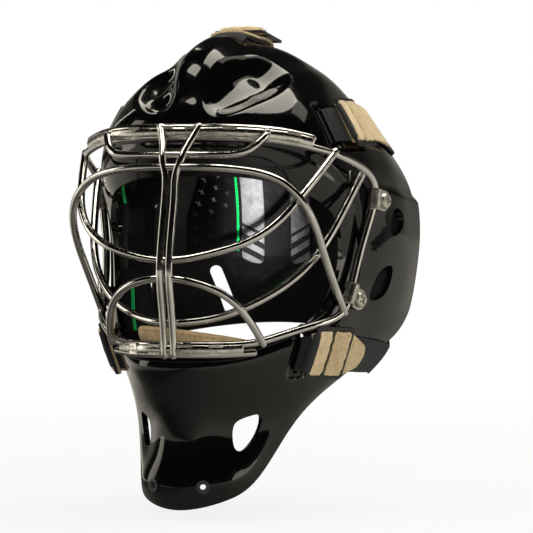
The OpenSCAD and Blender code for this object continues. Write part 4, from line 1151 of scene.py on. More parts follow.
def slideMesh(bm, place):
    bar, gap = straps["bar"], straps["windowGap"]
    wide = straps["tabWidth"] + 2 * (bar + gap) + 1.0
    long = straps["bandFront"] + straps["bandRear"] + 4 * gap + 3 * bar
    ys = np.cumsum([0, bar, straps["bandFront"] + 2 * gap, bar, straps["bandRear"] + 2 * gap, bar]) - long / 2
    xs = [-wide / 2, -wide / 2 + bar, wide / 2 - bar, wide / 2]
    made = bmesh.ops.create_grid(bm, x_segments=3, y_segments=5, size=1)["verts"]
    spots = {v: (round((v.co.x + 1) / 2 * 3), round((v.co.y + 1) / 2 * 5)) for v in made}
    for v, (i, j) in spots.items():
        v.co = (xs[i], ys[j], 0)
    windows = [f for f in bm.faces if abs(f.calc_center_median().x) < 2 and f.calc_area() > wide * bar * 1.6]
    corners = [v for v, (i, j) in spots.items() if i in (0, 3) and j in (0, 5)]
    bmesh.ops.delete(bm, geom=windows, context="FACES")
    bmesh.ops.bevel(bm, geom=corners, offset=3.2, offset_type="OFFSET", segments=5, profile=0.5,
                    affect="VERTICES", material=-1)
    grown = bmesh.ops.extrude_face_region(bm, geom=bm.faces[:])["geom"]
    for v in grown:
        if isinstance(v, bmesh.types.BMVert):
            v.co.z += straps["slideThick"]
    for v in bm.verts:
        v.co = Vector(inFrame(place, (v.co.x, v.co.y, v.co.z - 0.0035 * v.co.x ** 2)))
    return long


def bandMesh(bm, place, y, long, width, rise, seed, grooves=()):
    # A crowned suede band with soft, uneven ends and rounded shoulders
    rng = np.random.RandomState(seed)
    rows, around = 34, 36
    low, top = 0.25, straps["slideThick"] + rise
    wave = [rng.uniform(-1, 1, 8) for _ in range(2)]
    out = []
    for k in range(rows + 1):
        p = 2 * k / rows - 1
        p = math.sin(p * math.pi / 2) * 0.35 + p * 0.65
        fat = 1 - 0.28 * max(0.0, (abs(p) - 0.86) / 0.14) ** 2
        row = []
        for i in range(around + 1):
            a = math.tau * i / around - math.pi / 2
            cy, cz = math.cos(a), math.sin(a)
            yy = math.copysign(abs(cy) ** 0.55, cy) * long / 2 * (0.985 if abs(p) < 0.95 else 0.94)
            zz = (low + top) / 2 + math.copysign(abs(cz) ** 0.75, cz) * (top - low) / 2 * fat
            ragged = 0.0
            if cz > -0.2:
                ragged = 0.16 * math.sin(9 * p + 5 * wave[0][0] + a * 2)
                ragged += 0.12 * math.sin(31 * p + 7 * wave[1][1] + 3 * a)
            zz += ragged * (1 if cz > 0 else 0.4)
            yy += 0.3 * math.sin(14 * p + wave[0][2] * 5) * cy * abs(cy)
            end = 0.35 * math.sin(3.1 * yy + seed) + 0.25 * math.sin(7.7 * yy + 2 * seed)
            for at, deep in grooves:
                zz -= deep * math.exp(-((yy - at) / 0.5) ** 2) * (cz > 0)
            xx = p * (width / 2 + (end if abs(p) > 0.9 else 0))
            row.append((xx, y + long / 2 + yy, zz - 0.0035 * xx * xx))
        row[-1] = row[0]
        out.append(inFrame(place, row))
    stripMesh(bm, out)


def tabMesh(bm, strap):
    # The suede tab over the elastic; its free end tapers to a rounded tip
    low, high = strap["tab"]
    rows = []
    for f in np.arange(45) / 44:
        c = along(strap["path"], low + (high - low) * f)
        half = straps["tabWidth"] / 2 * (1 - strap["tip"] * 0.62 * max(0.0, (f - 0.66) / 0.34) ** 1.15)
        closing = max(0.0, (f - 0.93) / 0.07)
        half *= math.sqrt(max(0.0009, 1 - closing ** 2)) if strap["tip"] else 1
        section = stripSection(2 * half, straps["tabThick"] * (1 - 0.5 * closing), 0.55)
        lift = straps["tabLift"] + section[:, 1] + strap["crest"]
        rows.append(overShell(c, strapStep(c, strap["across"]), section[:, 0], lift))
    stripMesh(bm, rows)


def loopMesh(bm, place, long):
    # The elastic's fold round the slide's front bar
    section = 20
    rows = []
    for k in range(17):
        p = 2 * k / 16 - 1
        row = []
        for i in range(section + 1):
            a = math.tau * i / section - math.pi / 2
            y = math.copysign(abs(math.cos(a)) ** 0.7, math.cos(a)) * 3.3
            z = 0.95 + math.copysign(abs(math.sin(a)) ** 0.8, math.sin(a)) * 1.75
            x = p * straps["width"] / 2
            row.append((x, -long / 2 + 0.2 + y, z - 0.0035 * x * x))
        row[-1] = row[0]
        rows.append(inFrame(place, row))
    stripMesh(bm, rows)


def buildStrapStacks():
    slides, loops = bmesh.new(), bmesh.new()
    for key, tabNode in (("upper", "suede_tabs_upper"), ("lower", "suede_tabs_lower"),
                         ("top", "suede_tab_top")):
        strap = straps[key]
        tabs, front, rear = bmesh.new(), bmesh.new(), bmesh.new()
        for mirrored in ((False, True) if key != "top" else (False,)):
            place = slideFrame(strap, straps["slideLift"] + strap["crest"])
            part = [bmesh.new() for _ in range(5)]
            long = slideMesh(part[0], place)
            if key != "top":
                loopMesh(part[1], place, long)
            tabMesh(part[2], strap)
            start = -long / 2 + straps["bar"] + straps["windowGap"]
            bandMesh(part[3], place, start, straps["bandFront"], straps["tabWidth"], strap["bandRise"],
                     3 + mirrored, ((-1.2, 0.55), (1.4, 0.3)))
            start += straps["bandFront"] + straps["bar"] + 2 * straps["windowGap"]
            bandMesh(part[4], place, start, straps["bandRear"], straps["tabWidth"] + 0.6, straps["rearRise"],
                     9 + mirrored)
            for one, whole in zip(part, (slides, loops, tabs, front, rear)):
                gather(whole, one, mirrored)
        bandNode = "suede_bands_" + key
        finishPiece(tabNode + "_napped", tabs, suedeMottled, "shell", (tabNode,))
        finishPiece(bandNode + "_front", front, suedePale, "shell", (bandNode,))
        finishPiece(bandNode + "_rear", rear, suedeMottled, "shell")
    piece = finishPiece("strap_slides_moulded", slides, slidePlastic, "shell",
                        ("strap_slides",))
    roundEdges(piece, 0.55, 50, 3)
    finishPiece("strap_loops_woven", loops, elasticBlack, "shell")


buildElastics()
buildStrapStacks()
print("straps built")

# Inside: liner foams, sweatband, piping, back plate, chin sling, eyelets


def brushedLiner(name, light, dark, knit=11.0, crosses=False):
    # UVs in centimetres: brushed knit over foam, with small printed crosses on the rear foam
    material, tree = startMaterial(name, roughness=0.85, specular=0.2, sheen=0.04, sheenRoughness=0.5,
                                   sheenTint=(0.8, 0.8, 0.82))
    uv = nodeOf(tree, "ShaderNodeTexCoord").outputs["UV"]
    at = coordinates(tree)
    knitted = times(tree, waveOf(tree, uv, knit, "X", 1.6), waveOf(tree, uv, knit * 0.8, "Y", 1.2))
    shade = mathOf(tree, "ADD", times(tree, knitted, 0.5), times(tree, noiseOf(tree, at, 70, 4.0, 0.6), 0.6))
    color = mixOf(tree, shade, dark, light)
    if crosses:
        parts = nodeOf(tree, "ShaderNodeSeparateXYZ", {0: uv}).outputs
        turns = [mathOf(tree, "FRACT", times(tree, parts[k], 1.15)) for k in (0, 1)]
        cell = [mathOf(tree, "ABSOLUTE", mathOf(tree, "SUBTRACT", turn, 0.5)) for turn in turns]
        thin = [mathOf(tree, "LESS_THAN", part, 0.045) for part in cell]
        long = [mathOf(tree, "LESS_THAN", part, 0.2) for part in cell]
        both = mathOf(tree, "ADD", times(tree, thin[0], long[1]), times(tree, thin[1], long[0]))
        mark = mathOf(tree, "MINIMUM", both, 1.0)
        # The printed crosses are kept only beyond one side of the foam and above a height
        spot = nodeOf(tree, "ShaderNodeSeparateXYZ", {0: at}).outputs
        wearAndPlaceMask = times(tree, rangeOf(tree, spot["X"], 1.0, 0.02, -0.044, -0.034),
                     rangeOf(tree, spot["Z"], 0.03, 1.0, 0.035, 0.05))
        color = mixOf(tree, times(tree, mark, wearAndPlaceMask), color, (0.55, 0.56, 0.57))
    puffs = bumpOf(tree, noiseOf(tree, at, 130, 3.0, 0.5), 0.0007)
    return feed(material, color=color, normal=bumpOf(tree, knitted, 0.00022, below=puffs))


def terryCloth():
    material, tree = startMaterial("terryCloth", roughness=0.95, specular=0.1, sheen=0.5, sheenRoughness=0.6,
                                   sheenTint=(0.9, 0.9, 0.9))
    loops = nodeOf(tree, "ShaderNodeTexVoronoi",
                   {"Vector": coordinates(tree), "Scale": 900.0}).outputs["Distance"]
    return feed(material, color=mixOf(tree, loops, (0.2, 0.2, 0.205), (0.05, 0.05, 0.052)),
                normal=bumpOf(tree, loops, 0.0009))


def twistedCord():
    material, tree = startMaterial("twistedCord", roughness=0.6, specular=0.35, sheen=0.3,
                                   sheenTint=(0.3, 1.0, 0.5))
    strands = waveOf(tree, coordinates(tree, turn=(0.6, 0.5, 0)), 190.0, "Z", 0.6)
    return feed(material, color=mixOf(tree, strands, (0.0, 0.30, 0.045), (0.004, 0.60, 0.12)),
                normal=bumpOf(tree, strands, 0.0003))


stripes = {
    "slope": 0.53, "period": 0.0088, "share": 0.5, "below": 0.017, "shift": 0.0062,
    "bright": (0.2, 0.2, 0.204), "dull": (0.12, 0.12, 0.124), "dark": (0.012, 0.012, 0.013),
}


def silverPanel():
    # Bright crinkled foil cloth; dark stripes fall towards the middle over its lower part
    material, tree = startMaterial("silverPanel", metallic=0.15, sheen=0.1)
    at = coordinates(tree)
    parts = nodeOf(tree, "ShaderNodeSeparateXYZ", {0: at}).outputs
    level = mathOf(tree, "SUBTRACT", parts[2],
                   times(tree, mathOf(tree, "ABSOLUTE", parts[0]), stripes["slope"]))
    turns = mathOf(tree, "DIVIDE", mathOf(tree, "ADD", level, stripes["shift"] + 1.0), stripes["period"])
    dark = times(tree, mathOf(tree, "LESS_THAN", mathOf(tree, "FRACT", turns), stripes["share"]),
                 mathOf(tree, "LESS_THAN", level, stripes["below"]))
    cloud = noiseOf(tree, at, 160, 5.0, 0.65)
    base = mixOf(tree, rangeOf(tree, cloud, 0.0, 1.0, 0.35, 0.65), stripes["bright"], stripes["dull"])
    crease = bumpOf(tree, noiseOf(tree, coordinates(tree, scale=(1, 1, 0.5)), 240, 4.0, 0.6), 0.0016)
    return feed(material, color=mixOf(tree, dark, base, stripes["dark"]),
                roughness=rangeOf(tree, cloud, 0.22, 0.42),
                normal=bumpOf(tree, noiseOf(tree, at, 1500, 2.0), 0.0001, below=crease))


linerBlack = brushedLiner("linerBlack", (0.016, 0.016, 0.017), (0.005, 0.005, 0.0055))
linerGrey = brushedLiner("linerGrey", (0.03, 0.03, 0.031), (0.01, 0.01, 0.011))
linerCrossed = brushedLiner("linerCrossed", (0.014, 0.014, 0.015), (0.004, 0.004, 0.0045), 9.0, True)
cupSuede = suedeHide("cupSuede", (0.56, 0.41, 0.22), (0.38, 0.255, 0.12))
plateBlack = moulded("plateBlack", (0.004, 0.004, 0.0042), 0.38, 0.00006)

pads = {
    "cornerRound": 0.5, "innerShrink": 0.95, "bulge": 0.02, "edgePart": 0.42, "ripple": 0.28,
    "forehead_foam": {"columns": (-2.1, 2.1), "rows": (0.7, 2.9), "gap": 5.4, "thick": 13.0,
                      "channels": (0.0,), "cloth": "black"},
    "sweatband": {"columns": (-1.8, 1.8), "rows": (0.85, 2.6), "gap": 19.1, "thick": 3.0, "channels": (),
                  "cloth": "terry"},
    "crown_foam": {"columns": (-2.1, 2.1), "rows": (3.5, 6.3), "gap": 5.4, "thick": 14.0,
                   "channels": (-0.42, 0.42), "cloth": "black"},
    "temple_foam": {"columns": (2.6, 4.9), "rows": (1.3, 5.8), "gap": 5.4, "thick": 14.0, "channels": (),
                    "cloth": "grey"},
    "cheek_foam": {"columns": (7.1, 9.0), "rows": (2.7, 6.5), "gap": 5.4, "thick": 19.0, "channels": (),
                   "groove": 2.5, "cloth": "black"},
    "ear_foam": {"columns": (4.7, 7.4), "rows": (4.9, 6.0), "gap": 8.0, "thick": 16.0, "edge": 0.95,
                 "channels": (), "cloth": "black"},
    "chin_foam": {"columns": (11.4, 14.6), "rows": (1.4, 3.6), "gap": 5.4, "thick": 7.0,
                  "channels": (-0.4, 0.4), "cloth": "black"},
}
cloths = {"black": linerBlack, "grey": linerGrey, "terry": terryCloth()}


def crownedMesh(bm, place, gap, crown, steps=46, across=30, seed=1.0):
    # A closed pad: flat outer face, bulging walls, crowned inner face; place(p, q, depth) gives its points
    spread = np.linspace(-1, 1, across + 1)
    spread = 0.55 * np.sin(spread * np.pi / 2) + 0.45 * spread
    walls = np.linspace(0, 1, 7)[1:-1]
    loop = [(q, 0.0) for q in np.linspace(-1, 1, 11)] + [(1.0, f) for f in walls]
    loop += [(q, 1.0) for q in spread[::-1]] + [(-1.0, f) for f in walls[::-1]] + [(-1.0, 0.0)]
    q, f = np.array(loop).T
    ends = (0.03, 0.25, 0.5, 0.72, 0.88)
    ps = np.linspace(-1, 1, steps + 1)
    ps = 0.5 * np.sin(ps * np.pi / 2) + 0.5 * ps
    rows = []
    for p, share in [(-1.0, g) for g in ends] + [(p, 1.0) for p in ps] + [(1.0, g) for g in ends[::-1]]:
        part = f * share
        size = 1 + (pads["innerShrink"] - 1) * part ** 2 + pads["bulge"] * np.sin(np.pi * part)
        ripple = pads["ripple"] * (np.sin(7.3 * p + 5.1 * q + seed) * np.sin(4.7 * q - 3.1 * p + 2 * seed))
        depth = gap + (crown(p, q) + ripple) * part
        row = place(p * size, q * size, depth)
        row[-1] = row[0]
        rows.append(row)
    stripMesh(bm, rows)


def padMesh(bm, pad, seed):
    (u0, u1), (s0, s1) = pad["columns"], pad["rows"]

    def place(p, q, depth):
        k = pads["cornerRound"] / 2
        cp = p * np.sqrt(np.maximum(0, 1 - q * q * k))
        cq = q * np.sqrt(np.maximum(0, 1 - p * p * k))
        return skin((u0 + u1) / 2 + (u1 - u0) / 2 * cp, (s0 + s1) / 2 + (s1 - s0) / 2 * cq, depth)

    def crown(p, q):
        edge = pad.get("edge", pads["edgePart"])
        dome = np.maximum(0, (1 - abs(p) ** 4) * (1 - np.abs(q) ** 4)) ** 0.6
        high = pad["thick"] * (edge + (1 - edge) * dome) - pad.get("groove", 0.0) * np.exp(-(9 * q) ** 2)
        for at in pad["channels"]:
            high = high - 1.1 * np.exp(-((p - at) / 0.035) ** 2)
        return high - 0.7 * np.exp(-((np.maximum(abs(p), np.abs(q)) - 0.86) / 0.03) ** 2)
    crownedMesh(bm, place, pad["gap"], crown, seed=seed)


def buildPads():
    for index, key in enumerate(("forehead_foam", "sweatband", "crown_foam", "temple_foam", "cheek_foam",
                                 "ear_foam", "chin_foam")):
        pad = pads[key]
        for side in (("left", "right") if key in ("temple_foam", "cheek_foam", "ear_foam") else ("",)):
            bm = bmesh.new()
            padMesh(bm, pad, 1.0 + index)
            if side == "right":
                mirroredMesh(bm)
            node = key + ("_" + side if side else "")
            piece = finishPiece(node + "_padded", bm, cloths[pad["cloth"]], "shell", (node,))


greenCord = twistedCord()
piping = {"radius": 1.2, "runs": ((((2.9, 1.05), (3.8, 1.0), (4.9, 1.1)), 12.4),
                                  (((7.5, 2.2), (8.2, 2.15), (9.0, 2.25)), 14.9))}


def buildPiping():
    whole = bmesh.new()
    for run, depth in piping["runs"]:
        line = [skin(np.array(c[0]), np.array(c[1]), depth) for c in curvePoints(run, 14)]
        for mirrored in (False, True):
            gather(whole, tubeMesh(line, piping["radius"], piping["radius"], 4), mirrored)
    finishPiece("liner_piping_corded", whole, greenCord, "shell", ("liner_piping",))


def plateHalf(q):
    rows = np.linspace(0, 1, 201)
    widths = np.interp(rows, *zip(*backSettings["outline"]))
    widths = np.convolve(np.pad(widths, 10, mode="reflect", reflect_type="odd"), np.ones(21) / 21,
                         mode="valid")
    width = backSettings["width"] / 2 * np.interp(q, rows, widths)
    return width * np.sqrt(1 - 0.16 * np.clip((q - 0.93) / 0.07, 0, 1) ** 2
                           - 0.05 * np.clip((0.06 - q) / 0.06, 0, 1) ** 2)


def plateHeight(p, q):
    return backSettings["low"] + (backSettings["high"] - backSettings["low"]) * q - 9 * p * p * (1 - q)


backParts = {
    "slot": ((48.2, -4.0), (37.8, -30.0), 4.0), "cells": (84, 90), "edgeRound": 1.1, "foamRows": (0.3, 0.92),
    "foamInset": 20.0, "foamGap": 4.4, "foamThick": 9.0, "channelDeep": 2.0, "panelSide": (12.0, 30.0),
    "panelHeight": (2.0, 85.0), "panelDeep": 14.0, "panelThick": 0.5,
    "rivets": ((52, 74), (-52, 74), (60, -22), (-60, -22), (0, 90)),
}


def capsule(a, b, radius, sides=12):
    # Outline of a slot with round ends at a and b
    a, b = np.array(a), np.array(b)
    turn = math.atan2(*(b - a)[::-1])
    half = np.linspace(-math.pi / 2, math.pi / 2, sides)
    ends = [(a, turn + math.pi + t) for t in half] + [(b, turn + t) for t in half]
    return np.array([c + radius * np.array([math.cos(t), math.sin(t)]) for c, t in ends])


def buildBackPlate():
    bm = bmesh.new()
    bmesh.ops.create_grid(bm, x_segments=backParts["cells"][0], y_segments=backParts["cells"][1], size=1)
    for v in bm.verts:
        q = (v.co.y + 1) / 2
        v.co = (v.co.x * plateHalf(q), plateHeight(v.co.x, q), 0)
    a, b, r = backParts["slot"]
    for side in (1, -1):
        cutHole(bm, capsule((a[0] * side, a[1]), (b[0] * side, b[1]), r), 3, 3, 4)
    bmesh.ops.delete(bm, geom=[v for v in bm.verts if not v.link_faces], context="VERTS")
    flat = np.array([v.co[:2] for v in bm.verts])
    for v, p in zip(bm.verts, backAt(flat[:, 0], flat[:, 1])):
        v.co = p
    bmesh.ops.recalc_face_normals(bm, faces=bm.faces)
    if sum(f.normal.y for f in bm.faces) < 0:
        bmesh.ops.reverse_faces(bm, faces=bm.faces)
    plate = finishPiece("back_plate_moulded", bm, plateBlack, "back_plate", ("back_plate",))
    addModifier(plate, "SOLIDIFY", thickness=backSettings["wall"] * 0.001, offset=-1, use_rim=True)
    roundEdges(plate, backParts["edgeRound"], 55)


def buildPlateFoam():
    low, high = backParts["foamRows"]

    def place(p, q, depth):
        h = low + (high - low) * (q + 1) / 2
        return backAt(p * (plateHalf(h) - backParts["foamInset"]), plateHeight(p, h), -depth)

    def crown(p, q):
        dome = np.maximum(0, (1 - abs(p) ** 6) * (1 - np.abs(q) ** 6)) ** 0.6
        return backParts["foamThick"] * (0.5 + 0.5 * dome) - backParts["channelDeep"] * np.exp(-(12 * p) ** 2)
    bm = bmesh.new()
    crownedMesh(bm, place, backParts["foamGap"], crown, steps=70, across=40, seed=4.0)
    piece = finishPiece("back_plate_foam_padded", bm, linerCrossed, "back_plate",
                        ("back_plate_foam",))


def buildRivets():
    bm = bmesh.new()
    profile = [(0, -3.0), (2.25, -3.0), (2.25, 2.75), (4.7, 2.75), (5.0, 2.95), (5.0, 3.3), (4.5, 3.85),
               (3.0, 4.2), (0, 4.3)]
    for x, z in backParts["rivets"]:
        n = unit(backAt(x, z, 1.0) - backAt(x, z))
        w = unit(np.cross((0, 0, 1.0), n))
        latheMesh(bm, profile, backAt(x, z), w, np.cross(n, w), n, 32, closed=False)
    bmesh.ops.remove_doubles(bm, verts=bm.verts, dist=0.001)
    bmesh.ops.recalc_face_normals(bm, faces=bm.faces)
    finishPiece("back_plate_rivets_domed", bm, snapMetal, "back_plate", ("back_plate_rivets",))


def buildPanels():
    # Two crinkled panels; each is one closed sheet with rounded corners
    (x0, x1), (z0, z1) = backParts["panelSide"], backParts["panelHeight"]
    for side, name in ((1, "left"), (-1, "right")):
        rows = []
        count, last = 16, 60
        for k in range(last + 1):
            q = 2 * k / last - 1
            corner = math.sqrt(max(0.0, 1 - max(0.0, (abs(q) - 0.86) / 0.14) ** 2))
            half = (x1 - x0) / 2 * (1 - 0.32 * (1 - corner)) * (0.999 if abs(q) < 1 else 0.96)
            p = np.linspace(-1, 1, count + 1)
            lean = 2.2 * max(0.0, q - 0.55)
            x = (x0 + x1) / 2 + lean + p * (half - lean * 0.4)
            z = (z0 + z1) / 2 + q * (z1 - z0) / 2 + 0.9 * np.sin(2 * p)
            crinkle = (0.32 * np.sin(0.55 * z + 1.2 * p + 0.6 * side) * np.sin(0.21 * z + 2.3 * p)
                       + 0.2 * np.sin(1.25 * z - 2.6 * p + side)) * (1 - np.abs(p) ** 4) * (1 - abs(q) ** 8)
            deep = backParts["panelDeep"] + 0.35 + crinkle
            front = backAt(side * x, z, -(deep + backParts["panelThick"] / 2))
            back = backAt(side * x, z, -(deep - backParts["panelThick"] / 2))
            rows.append(np.concatenate([front, back[::-1], front[:1]]))
        bm = bmesh.new()
        stripMesh(bm, rows)
        piece = finishPiece("back_liner_panel_" + name, bm, silverCloth, "back_plate",
                            ("back_liner_panels",) if side == 1 else ())
    bm = bmesh.new()
    edge = [(-x1 - 3.2 + 3.4 * max(0.0, (z - 74) / 10), z) for z in np.linspace(z0 + 9, z1 - 2, 24)]
    line = np.array([backAt(x, z, -(backParts["panelDeep"] + 0.2)) for x, z in edge])
    gather(bm, tubeMesh(line, 0.9, 0.9, 4))
    finishPiece("panel_cord_green", bm, greenCord, "back_plate", ())


silverCloth = silverPanel()

sling = {
    "cupMiddle": (-6.0, -62.0, -54.0), "cupSize": (40.0, 40.0, 15.0), "turn": 80.0, "tilt": 0.1, "wall": 3.0,
    "strapThick": 2.0, "strapWidth": 16.0, "pivot": (-6.0, -60.0), "snapSide": 72.0, "capRadius": 6.0,
    "capHigh": 3.0, "postRadius": 2.5,
}


def cupPoint(p, q, out):
    p, q, out = np.broadcast_arrays(np.asarray(p, float), np.asarray(q, float), np.asarray(out, float))
    a = np.radians(p * sling["turn"])
    sx, sy, sz = sling["cupSize"]
    x, y = (sx + out) * np.sin(a), -(sy + out) * np.cos(a)
    z = sz * q * (1 - 0.35 * p * p) - sling["tilt"] * x + 1.5 * (1 - q) * (1 - p * p)
    return np.array(sling["cupMiddle"]) + np.stack([x, y, z], -1)


def buildCup():
    def place(p, q, depth):
        return cupPoint(np.clip(p, -1.02, 1.02), q, depth + 3 * q)

    def crown(p, q):
        dome = np.maximum(0, (1 - abs(p) ** 10) * (1 - np.abs(q) ** 8)) ** 0.5
        seam = np.exp(-((np.maximum(abs(p), np.abs(q)) - 0.8) / 0.035) ** 2)
        return sling["wall"] * (0.35 + 0.65 * dome) - 0.55 * seam
    bm = bmesh.new()
    crownedMesh(bm, place, 0.0, crown, steps=64, across=26, seed=2.5)
    finishPiece("chin_cup_suede", bm, cupSuede, "chin_sling", ("chin_cup",))


def buildSlingStraps():
    section = stripSection(sling["strapWidth"], sling["strapThick"], 0.5, 10)
    for side, name in ((1, "left"), (-1, "right")):
        end = np.array([side * (sling["snapSide"] - 1.5), *sling["pivot"]])
        start = cupPoint(side * 0.97, 0.0, sling["wall"] + 0.5 + sling["strapThick"] / 2)
        rows = []
        for t in np.arange(41) / 40:
            p = hermite(start, np.array([side * 8.0, 22, -2]), end, np.array([side * 14.0, 30, -2]), t)
            far = max(0.0, 1 - np.linalg.norm(end - p) / 7.0)
            wide = math.sqrt(max(0.02, 1 - far ** 2 * 0.55))
            rows.append(p + np.stack([side * (section[:, 1] - sling["strapThick"] / 2),
                                      np.zeros(len(section)), section[:, 0] * wide], -1))
        bm = bmesh.new()
        stripMesh(bm, rows)
        node = "sling_strap_" + name
        finishPiece(node + "_webbing", bm, elasticBlack, "chin_sling", (node,))


def buildSnaps():
    caps, posts = bmesh.new(), bmesh.new()
    high, r, post = sling["capHigh"], sling["capRadius"], sling["postRadius"]
    cap = [(post + 0.05, -high), (r - 0.9, -high), (r - 0.25, -high + 0.3), (r, -high + 0.9), (r, -0.5),
           (r - 0.3, 0), (post + 0.05, 0)]
    stud = [(0, -high - 1), (post - 0.7, -high - 1), (post - 0.15, -high - 0.75), (post, -high - 0.2),
            (post, 8.0), (0, 8.0)]
    for side in (1, -1):
        place = (np.array([side * sling["snapSide"], *sling["pivot"]]), np.array([0, 1.0, 0]),
                 np.array([0, 0, 1.0 * side]), np.array([1.0 * side, 0, 0]))
        latheMesh(caps, cap, *place, 36)
        latheMesh(posts, stud, *place, 28, closed=False)
    for bm, piece, node, body in ((caps, "sling_snaps_pressed", "sling_snaps", "chin_sling"),
                                  (posts, "snap_studs_turned", "snap_studs", "shell")):
        bmesh.ops.remove_doubles(bm, verts=bm.verts, dist=0.001)
        bmesh.ops.recalc_face_normals(bm, faces=bm.faces)
        finishPiece(piece, bm, snapMetal, body, (node,))


def buildEyelets():
    bm = bmesh.new()
    profile = [(2.35, -5.2), (4.3, -5.2), (4.6, -4.95), (4.6, -4.6), (4.3, -4.4), (3.1, -4.4), (3.1, 0.2),
               (4.3, 0.2), (4.6, 0.4), (4.55, 0.75), (4.1, 1.0), (2.6, 1.0), (2.15, 0.8), (2.0, 0.4),
               (2.0, -4.8)]
    for place in sideFrames(shellMesh["eyelet"]):
        latheMesh(bm, profile, *place, 40)
    bmesh.ops.recalc_face_normals(bm, faces=bm.faces)
    finishPiece("chin_eyelets_rolled", bm, eyeletPlastic, "shell", ("chin_eyelets",))


buildPads()
buildPiping()
buildBackPlate()
buildPlateFoam()
buildPanels()
buildRivets()
buildCup()
buildSlingStraps()
buildSnaps()
buildEyelets()
print("inside built")

# Studio: pale floor, soft boxes above and to both sides, narrow lamps into the opening, a white backdrop
studio = {
    "floorHeight": -0.1635, "floorSize": 14.0, "floorColor": (0.62, 0.62, 0.62), "surroundGrey": 0.34,
    "cameraSideGrey": 0.025, "backdropInGloss": 0.5, "warmWhite": (1.0, 0.95, 0.82),
    # What the floor shows to shiny surfaces to its right and left, and how it fades into the backdrop
    "glossRight": (0.06, 0.6, -0.15, 0.45), "glossLeft": (0.55, 0.0, -0.5, -0.24),
    "floorFade": (0.84, 1.0, 0.3, 1.2),
    "innerLamps": {"place": (0.88, -2.0, -0.02), "side": -0.031, "depth": 0.095,
                   "heights": (0.012, 0.034, 0.056, 0.078), "angle": 0.018, "watts": 1150},
    "boxes": [
        # name, place, aimed at, width, height, watts, shown in gloss
        ("boxTopRight", (0.36, 0.22, 1.65), (0.36, 0.22, 0), 1.0, 1.3, 20, True),
        ("boxTopFront", (-0.62, -0.74, 1.62), (-0.4, -0.5, 0), 0.6, 0.5, 5.5, True),
        ("stripBackLeft", (-0.92, 1.2, 1.36), (0, 0, 0.05), 0.08, 0.5, 0.25, True),
        ("stripLeft", (-1.66, 1.12, 0.85), (0, 0, 0.1), 0.06, 0.7, 0.35, True),
        ("boxTemple", (1.05, 0.74, 1.53), (0, 0, 0.1), 0.55, 0.55, 1.1, True),
        ("boxLeft", (-2.0, -0.35, 0.35), (0, 0, 0), 0.8, 1.4, 6, True),
        ("boxRight", (2.0, 0.35, 0.1), (0, 0, 0), 0.35, 1.2, 2.5, True),
        ("fillFront", (1.0, -2.2, 0.7), (0, 0, 0), 1.0, 1.0, 30, False),
        ("fillLeft", (-1.6, -1.6, 0.4), (0, 0, 0), 0.8, 0.8, 9, False),
        ("fillBack", (0.8, 2.2, 0.9), (0, 0, 0), 1.2, 1.2, 16, False),
    ],
}


def buildFloor():
    bm = bmesh.new()
    bmesh.ops.create_grid(bm, x_segments=1, y_segments=1, size=studio["floorSize"] * 500)
    bmesh.ops.scale(bm, vec=(0.001, 0.001, 0.001), verts=bm.verts)
    mesh = bpy.data.meshes.new("studioFloor")
    bm.to_mesh(mesh)
    bm.free()
    floor = bpy.data.objects.new("studioFloor", mesh)
    bpy.context.scene.collection.objects.link(floor)
    floor.location.z = studio["floorHeight"]
    material, tree = startMaterial("paleFloor", color=studio["floorColor"], roughness=0.9, specular=0.1)
    glow = nodeOf(tree, "ShaderNodeEmission", {"Color": (1, 1, 1, 1), "Strength": 1.0})
    seen, shiny = rayKinds(tree)
    at = nodeOf(tree, "ShaderNodeTexCoord").outputs["Object"]
    side = nodeOf(tree, "ShaderNodeSeparateXYZ", {0: at}).outputs["X"]
    # Near the object the floor keeps its shadow; further out it runs into the white backdrop
    away = nodeOf(tree, "ShaderNodeVectorMath", {0: at}, operation="LENGTH").outputs["Value"]
    part = times(tree, seen, rangeOf(tree, away, *studio["floorFade"]))
    mix = nodeOf(tree, "ShaderNodeMixShader",
                 {0: part, 1: tree.nodes["Principled BSDF"].outputs[0], 2: glow.outputs[0]})
    right, left = [rangeOf(tree, side, *studio[key]) for key in ("glossRight", "glossLeft")]
    bright = mathOf(tree, "MAXIMUM", mathOf(tree, "MAXIMUM", right, left), 0.0)
    pale = nodeOf(tree, "ShaderNodeEmission", {"Color": (*studio["warmWhite"], 1), "Strength": bright})
    last = nodeOf(tree, "ShaderNodeMixShader", {0: shiny, 1: mix.outputs[0], 2: pale.outputs[0]})
    tree.links.new(last.outputs[0], tree.nodes["Material Output"].inputs[0])
    mesh.materials.append(material)


def rayKinds(tree):
    # Which rays come from the camera, and which from a shiny or clear surface
    path = nodeOf(tree, "ShaderNodeLightPath").outputs
    return path["Is Camera Ray"], mathOf(tree, "MAXIMUM", path["Is Glossy Ray"], path["Is Transmission Ray"])


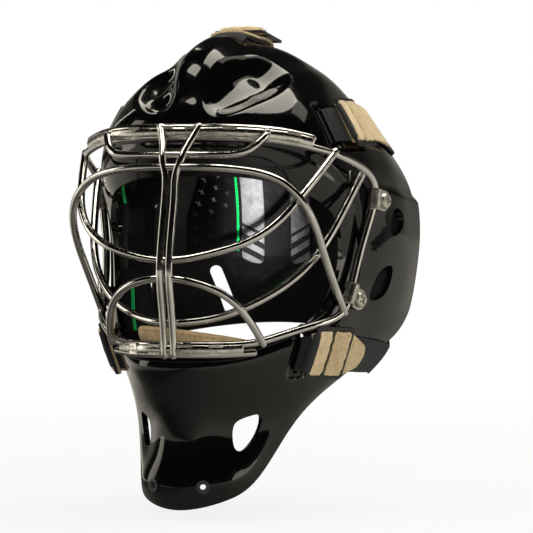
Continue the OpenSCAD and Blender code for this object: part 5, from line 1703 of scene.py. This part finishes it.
def placeLamp(light, place, aim, inGloss):
    lamp = bpy.data.objects.new(light.name, light)
    bpy.context.scene.collection.objects.link(lamp)
    lamp.location = place
    lamp.visible_glossy = inGloss
    lamp.rotation_euler = (Vector(aim) - Vector(place)).to_track_quat("-Z", "Y").to_euler()


def buildLamps():
    for name, place, aim, width, height, watts, inGloss in studio["boxes"]:
        light = bpy.data.lights.new(name, "AREA")
        light.shape, light.size, light.size_y, light.energy = "RECTANGLE", width, height, watts
        if inGloss:
            light.color = studio["warmWhite"]
        placeLamp(light, place, aim, inGloss)
    # Narrow lamps through the eye opening, on the panel at the back
    inner = studio["innerLamps"]
    for height in inner["heights"]:
        light = bpy.data.lights.new("innerLamp", "SPOT")
        light.energy, light.spot_size, light.spot_blend = inner["watts"], inner["angle"], 0.9
        light.shadow_soft_size = 0.02
        placeLamp(light, inner["place"], (inner["side"], inner["depth"], height), False)


def buildWorld():
    world = bpy.data.worlds.new("studioWorld")
    bpy.context.scene.world = world
    world.use_nodes = True
    tree = world.node_tree
    way = nodeOf(tree, "ShaderNodeTexCoord").outputs["Generated"]
    parts = nodeOf(tree, "ShaderNodeSeparateXYZ", {0: way}).outputs
    # The backdrop behind the object is white, and the room on the camera's side stays dark
    sockets = {"Value": parts["Y"], "From Min": 0.35, "From Max": 0.9, "To Min": studio["cameraSideGrey"],
               "To Max": studio["backdropInGloss"]}
    behind = nodeOf(tree, "ShaderNodeMapRange", sockets, interpolation_type="SMOOTHSTEP").outputs[0]
    behind = times(tree, behind, rangeOf(tree, parts["Z"], 0.85, 0.03, 0.0, 0.38))
    seen, shiny = rayKinds(tree)
    room = nodeOf(tree, "ShaderNodeMix", {0: shiny, 2: studio["surroundGrey"], 3: behind},
                  data_type="FLOAT").outputs[0]
    level = nodeOf(tree, "ShaderNodeMix", {0: seen, 2: room, 3: 1.0}, data_type="FLOAT").outputs[0]
    shader = tree.nodes["Background"]
    tree.links.new(mixOf(tree, shiny, (1, 1, 1), studio["warmWhite"]), shader.inputs["Color"])
    tree.links.new(level, shader.inputs["Strength"])


buildFloor()
buildLamps()
buildWorld()
bpy.context.scene.view_settings.view_transform = "Standard"
print("studio set")
